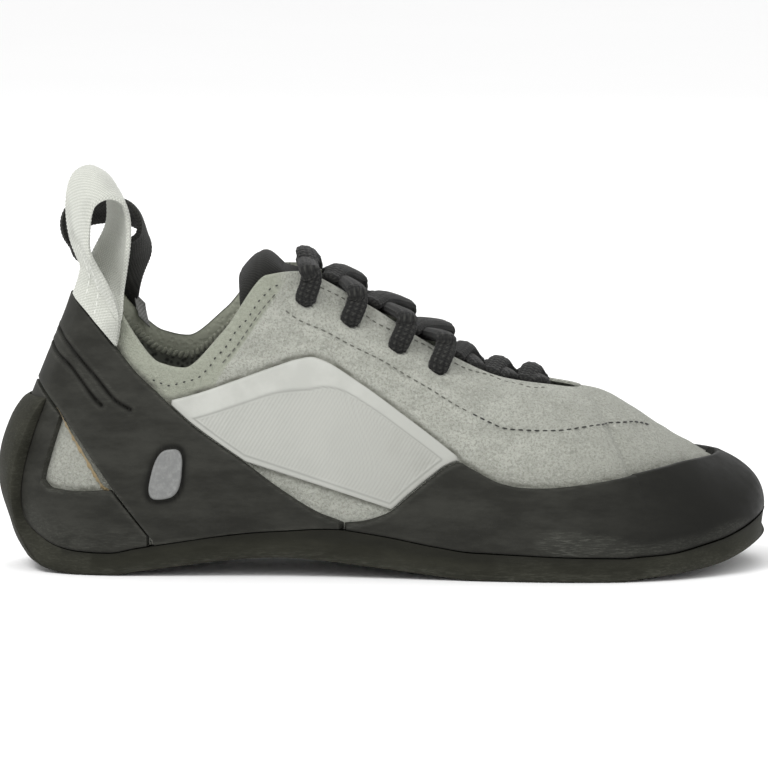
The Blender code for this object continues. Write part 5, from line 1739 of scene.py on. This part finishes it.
# %% Build the plate
BADGE_LIFT = LAYER_GAP + RAND_THICKNESS + GAP
station, rise = plate_curve(np.linspace(0.0, 1.0, 26)[:, None], np.linspace(0.0, 2 * np.pi, 97)[None, :])
points = skin(station, rise)
from_rim = np.linalg.norm(points - points[-1:], axis=-1)
dish = 0.00018 * ramp(from_rim, 0.0010, 0.0014)
lift = BADGE_LIFT + (BADGE_THICKNESS - dish) * rounded(from_rim, 1.0, 0.0006)
outer = on_last(station, rise, lift)
inner = on_last(station, rise, np.where(from_rim > 0.0, BADGE_LIFT, lift))
make_piece("heel_plate", *pinched(outer, inner), [plate_finish], "heel_badge", "heel_badge")

# %% [markdown]
# ## Seams
# Seams hold the layers and tell the eye where one ends. Each is a row of small beans of thread, laid
# on the leather along a line drawn from the side. Both sides are sewn alike, but the toe seam ends
# earlier on the inner side, where the big toe bends the leather away.

# %% Sew the seams
Seam = namedtuple("Seam", "name places finish stitch gap thread")
MEDIAL_SEAM_END = 195
SEAM_LIFT = 0.00016
SIDES = ((-1, "outer"), (1, "inner"))
SEAMS = (
    Seam(
        "long_seam",
        ((92, 85), (97, 81.6), (105, 78.3), (113, 74), (124, 68.6), (131, 64.4), (139, 59.9), (146, 55.6),
         (152, 52.5)),
        long_thread, 0.0016, 0.0010, 0.00052,
    ),
    Seam(
        "toe_seam",
        ((152, 52.5), (158, 49.6), (163, 47.7), (172, 47), (181, 47), (191, 48), (200, 48), (205, 47.7),
         (209, 46.4), (212, 44.6)),
        dark_thread, 0.0017, 0.0009, 0.00058,
    ),
    Seam(
        "throat_seam",
        ((103, 92), (111, 88), (119, 82), (124, 79), (137, 73), (149, 66), (158, 63), (163, 61), (168, 60),
         (172, 59), (178, 59)),
        long_thread, 0.0015, 0.0010, 0.00048,
    ),
    Seam(
        "collar_seam",
        ((49, 63), (55, 61), (59, 62), (63, 63), (65, 64), (68, 67), (70, 70), (73, 73), (75, 76), (77, 79),
         (80, 82), (82, 85), (84, 88), (86, 90), (88, 92), (91, 93)),
        dark_thread, 0.0009, 0.0017, 0.00052,
    ),
    Seam(
        "collar_thin_seam", ((72, 68), (77, 74), (84, 84), (90, 91)), grey_thread, 0.0016, 0.0008, 0.00045,
    ),
)
for seam in SEAMS:
    for side, side_name in SIDES:
        places = [place for place in seam.places if side < 0 or place[0] < MEDIAL_SEAM_END]
        station, rise = drawn(places, side)
        line = on_last(station, rise, SEAM_LIFT)
        stitch_row(
            seam.name + "_" + side_name, line, normal_at(station, rise), seam.finish, "upper", seam.stitch,
            seam.gap, seam.thread,
        )

# %% [markdown]
# Inside the collar a soft facing is whipped to the lining, so its stitches stand across the seam.

# %% Whip the collar facing
WHIP_LIFT = -(UPPER_WALL + 0.0001)
for side, side_name in SIDES:
    station = side * np.linspace(0.3, 7.4, 260)
    tenth = np.linalg.norm(skin(station, 1.0) - skin(station, 0.9), axis=1)
    rise = 1.0 - 0.1 * LINING_BAND / tenth
    line = on_last(station, rise, WHIP_LIFT)
    stitch_row(
        "whip_seam_" + side_name, line, -normal_at(station, rise), facing_thread, "upper", 0.0027, -0.0008,
        0.0015, 2.0,
    )

# %% [markdown]
# ## Small parts at the heel
# The window in the heel rubber is cut by hand: its slanting edge shows the raw brown core of the
# sheet, frayed and uneven. A small woven tab is caught in the collar seam on the inner side.

# %% Raw edge of the heel window
CUT_PLACES = ((19.5, 53), (24, 45), (29, 37), (33.5, 29.5), (36, 27.5))
CUT_ROWS = 9
CUT_WIDTH = 0.0013
CUT_HEIGHT = 0.0017
for side, side_name in SIDES:
    station, rise = drawn(CUT_PLACES, side, 0.0003)
    core = skin(station, rise)
    ahead = unit(np.gradient(core, axis=0))
    normal = normal_at(station, rise)
    down = unit(np.cross(normal, ahead))
    down = np.where(down[:, 2:3] > 0, -down, down)
    share = np.linspace(0.0, 1.0, CUT_ROWS)[None, :, None]
    fray = lumps(core, 0.0011, 3.0)[:, None, None]
    rag = lumps(core[:, None] + down[:, None] * share * 0.004, 0.0007, 8.0)[..., None]
    width = CUT_WIDTH + 0.0007 * fray
    level = BASE_LIFT + CUT_HEIGHT * (1.0 - share) ** 0.7 + 0.00022 * rag
    sheet = core[:, None] + down[:, None] * width * (share - 0.25) + normal[:, None] * level
    under = sheet - normal[:, None] * np.minimum(level - 0.00002, 0.0004)
    under[:, [0, -1]] = sheet[:, [0, -1]]
    under[[0, -1]] = sheet[[0, -1]]
    make_piece("window_edge_" + side_name, *pinched(sheet, under), [raw_edge], "heel_sling")

# %% Woven tab
TAB_STATION = 3.2
TAB_HALF = 0.0030
TAB_HEIGHT = 0.0048
TAB_THICKNESS = 0.0009
rim = skin(TAB_STATION, 1.0)
out = level_normal(TAB_STATION)
ahead = unit(skin(TAB_STATION + 0.1, 1.0) - skin(TAB_STATION - 0.1, 1.0))
u, v = np.meshgrid(np.linspace(-1.0, 1.0, 40), np.linspace(-0.6, 1.0, 48))
tab_up = np.array((0.0, 0.0, 1.0)) * 0.9 + ahead * -0.25
bend = 0.0006 * np.sin(2.5 * v) - 0.0030
sheet = rim + ahead * (u * TAB_HALF)[..., None] + tab_up * (v * TAB_HEIGHT)[..., None] + out * bend[..., None]
from_rim = np.minimum((1.0 - np.abs(u)) * TAB_HALF, np.minimum(v + 0.6, 1.0 - v) * TAB_HEIGHT)
half = TAB_THICKNESS / 2 * rounded(from_rim, 1.0, 0.0004)
threads = np.sin(u * 26.0) * np.sin(v * 40.0) * 0.00005 * (half > 0.0004)
points, faces = pinched(sheet + out * (half + threads)[..., None], sheet - out * half[..., None])
marks = twice({"along": v * TAB_HEIGHT, "across": u * TAB_HALF, "dirt_and_painted_light": 0.0 * u})
make_piece("woven_tab", points, faces, [tab_cloth], "upper", None, marks)

# %% [markdown]
# The webbing is sewn down before the collar is closed. Two rows of pale thread show at the foot of the
# light loop, so they follow the ribbon's own grid.

# %% Sew the loops
SEWN_SHARE = 0.24
grid, normal, half = loop_lines["pull_loop_light"]
sewn = slice(6, int(SEWN_SHARE * len(grid)))
for number, offset in enumerate((-0.0021, 0.0021)):
    column = int(round(LOOP_ACROSS / 2 + offset / WEBBING_WIDTH * LOOP_ACROSS))
    line = grid[sewn, column] + normal[sewn, column] * (half[sewn, column] - 0.00005)[:, None]
    facing = normal[sewn, column]
    stitch_row(f"loop_seam_{number}", line, facing, pale_thread, "pull_loop_light", 0.0019, 0.0007, 0.0006)
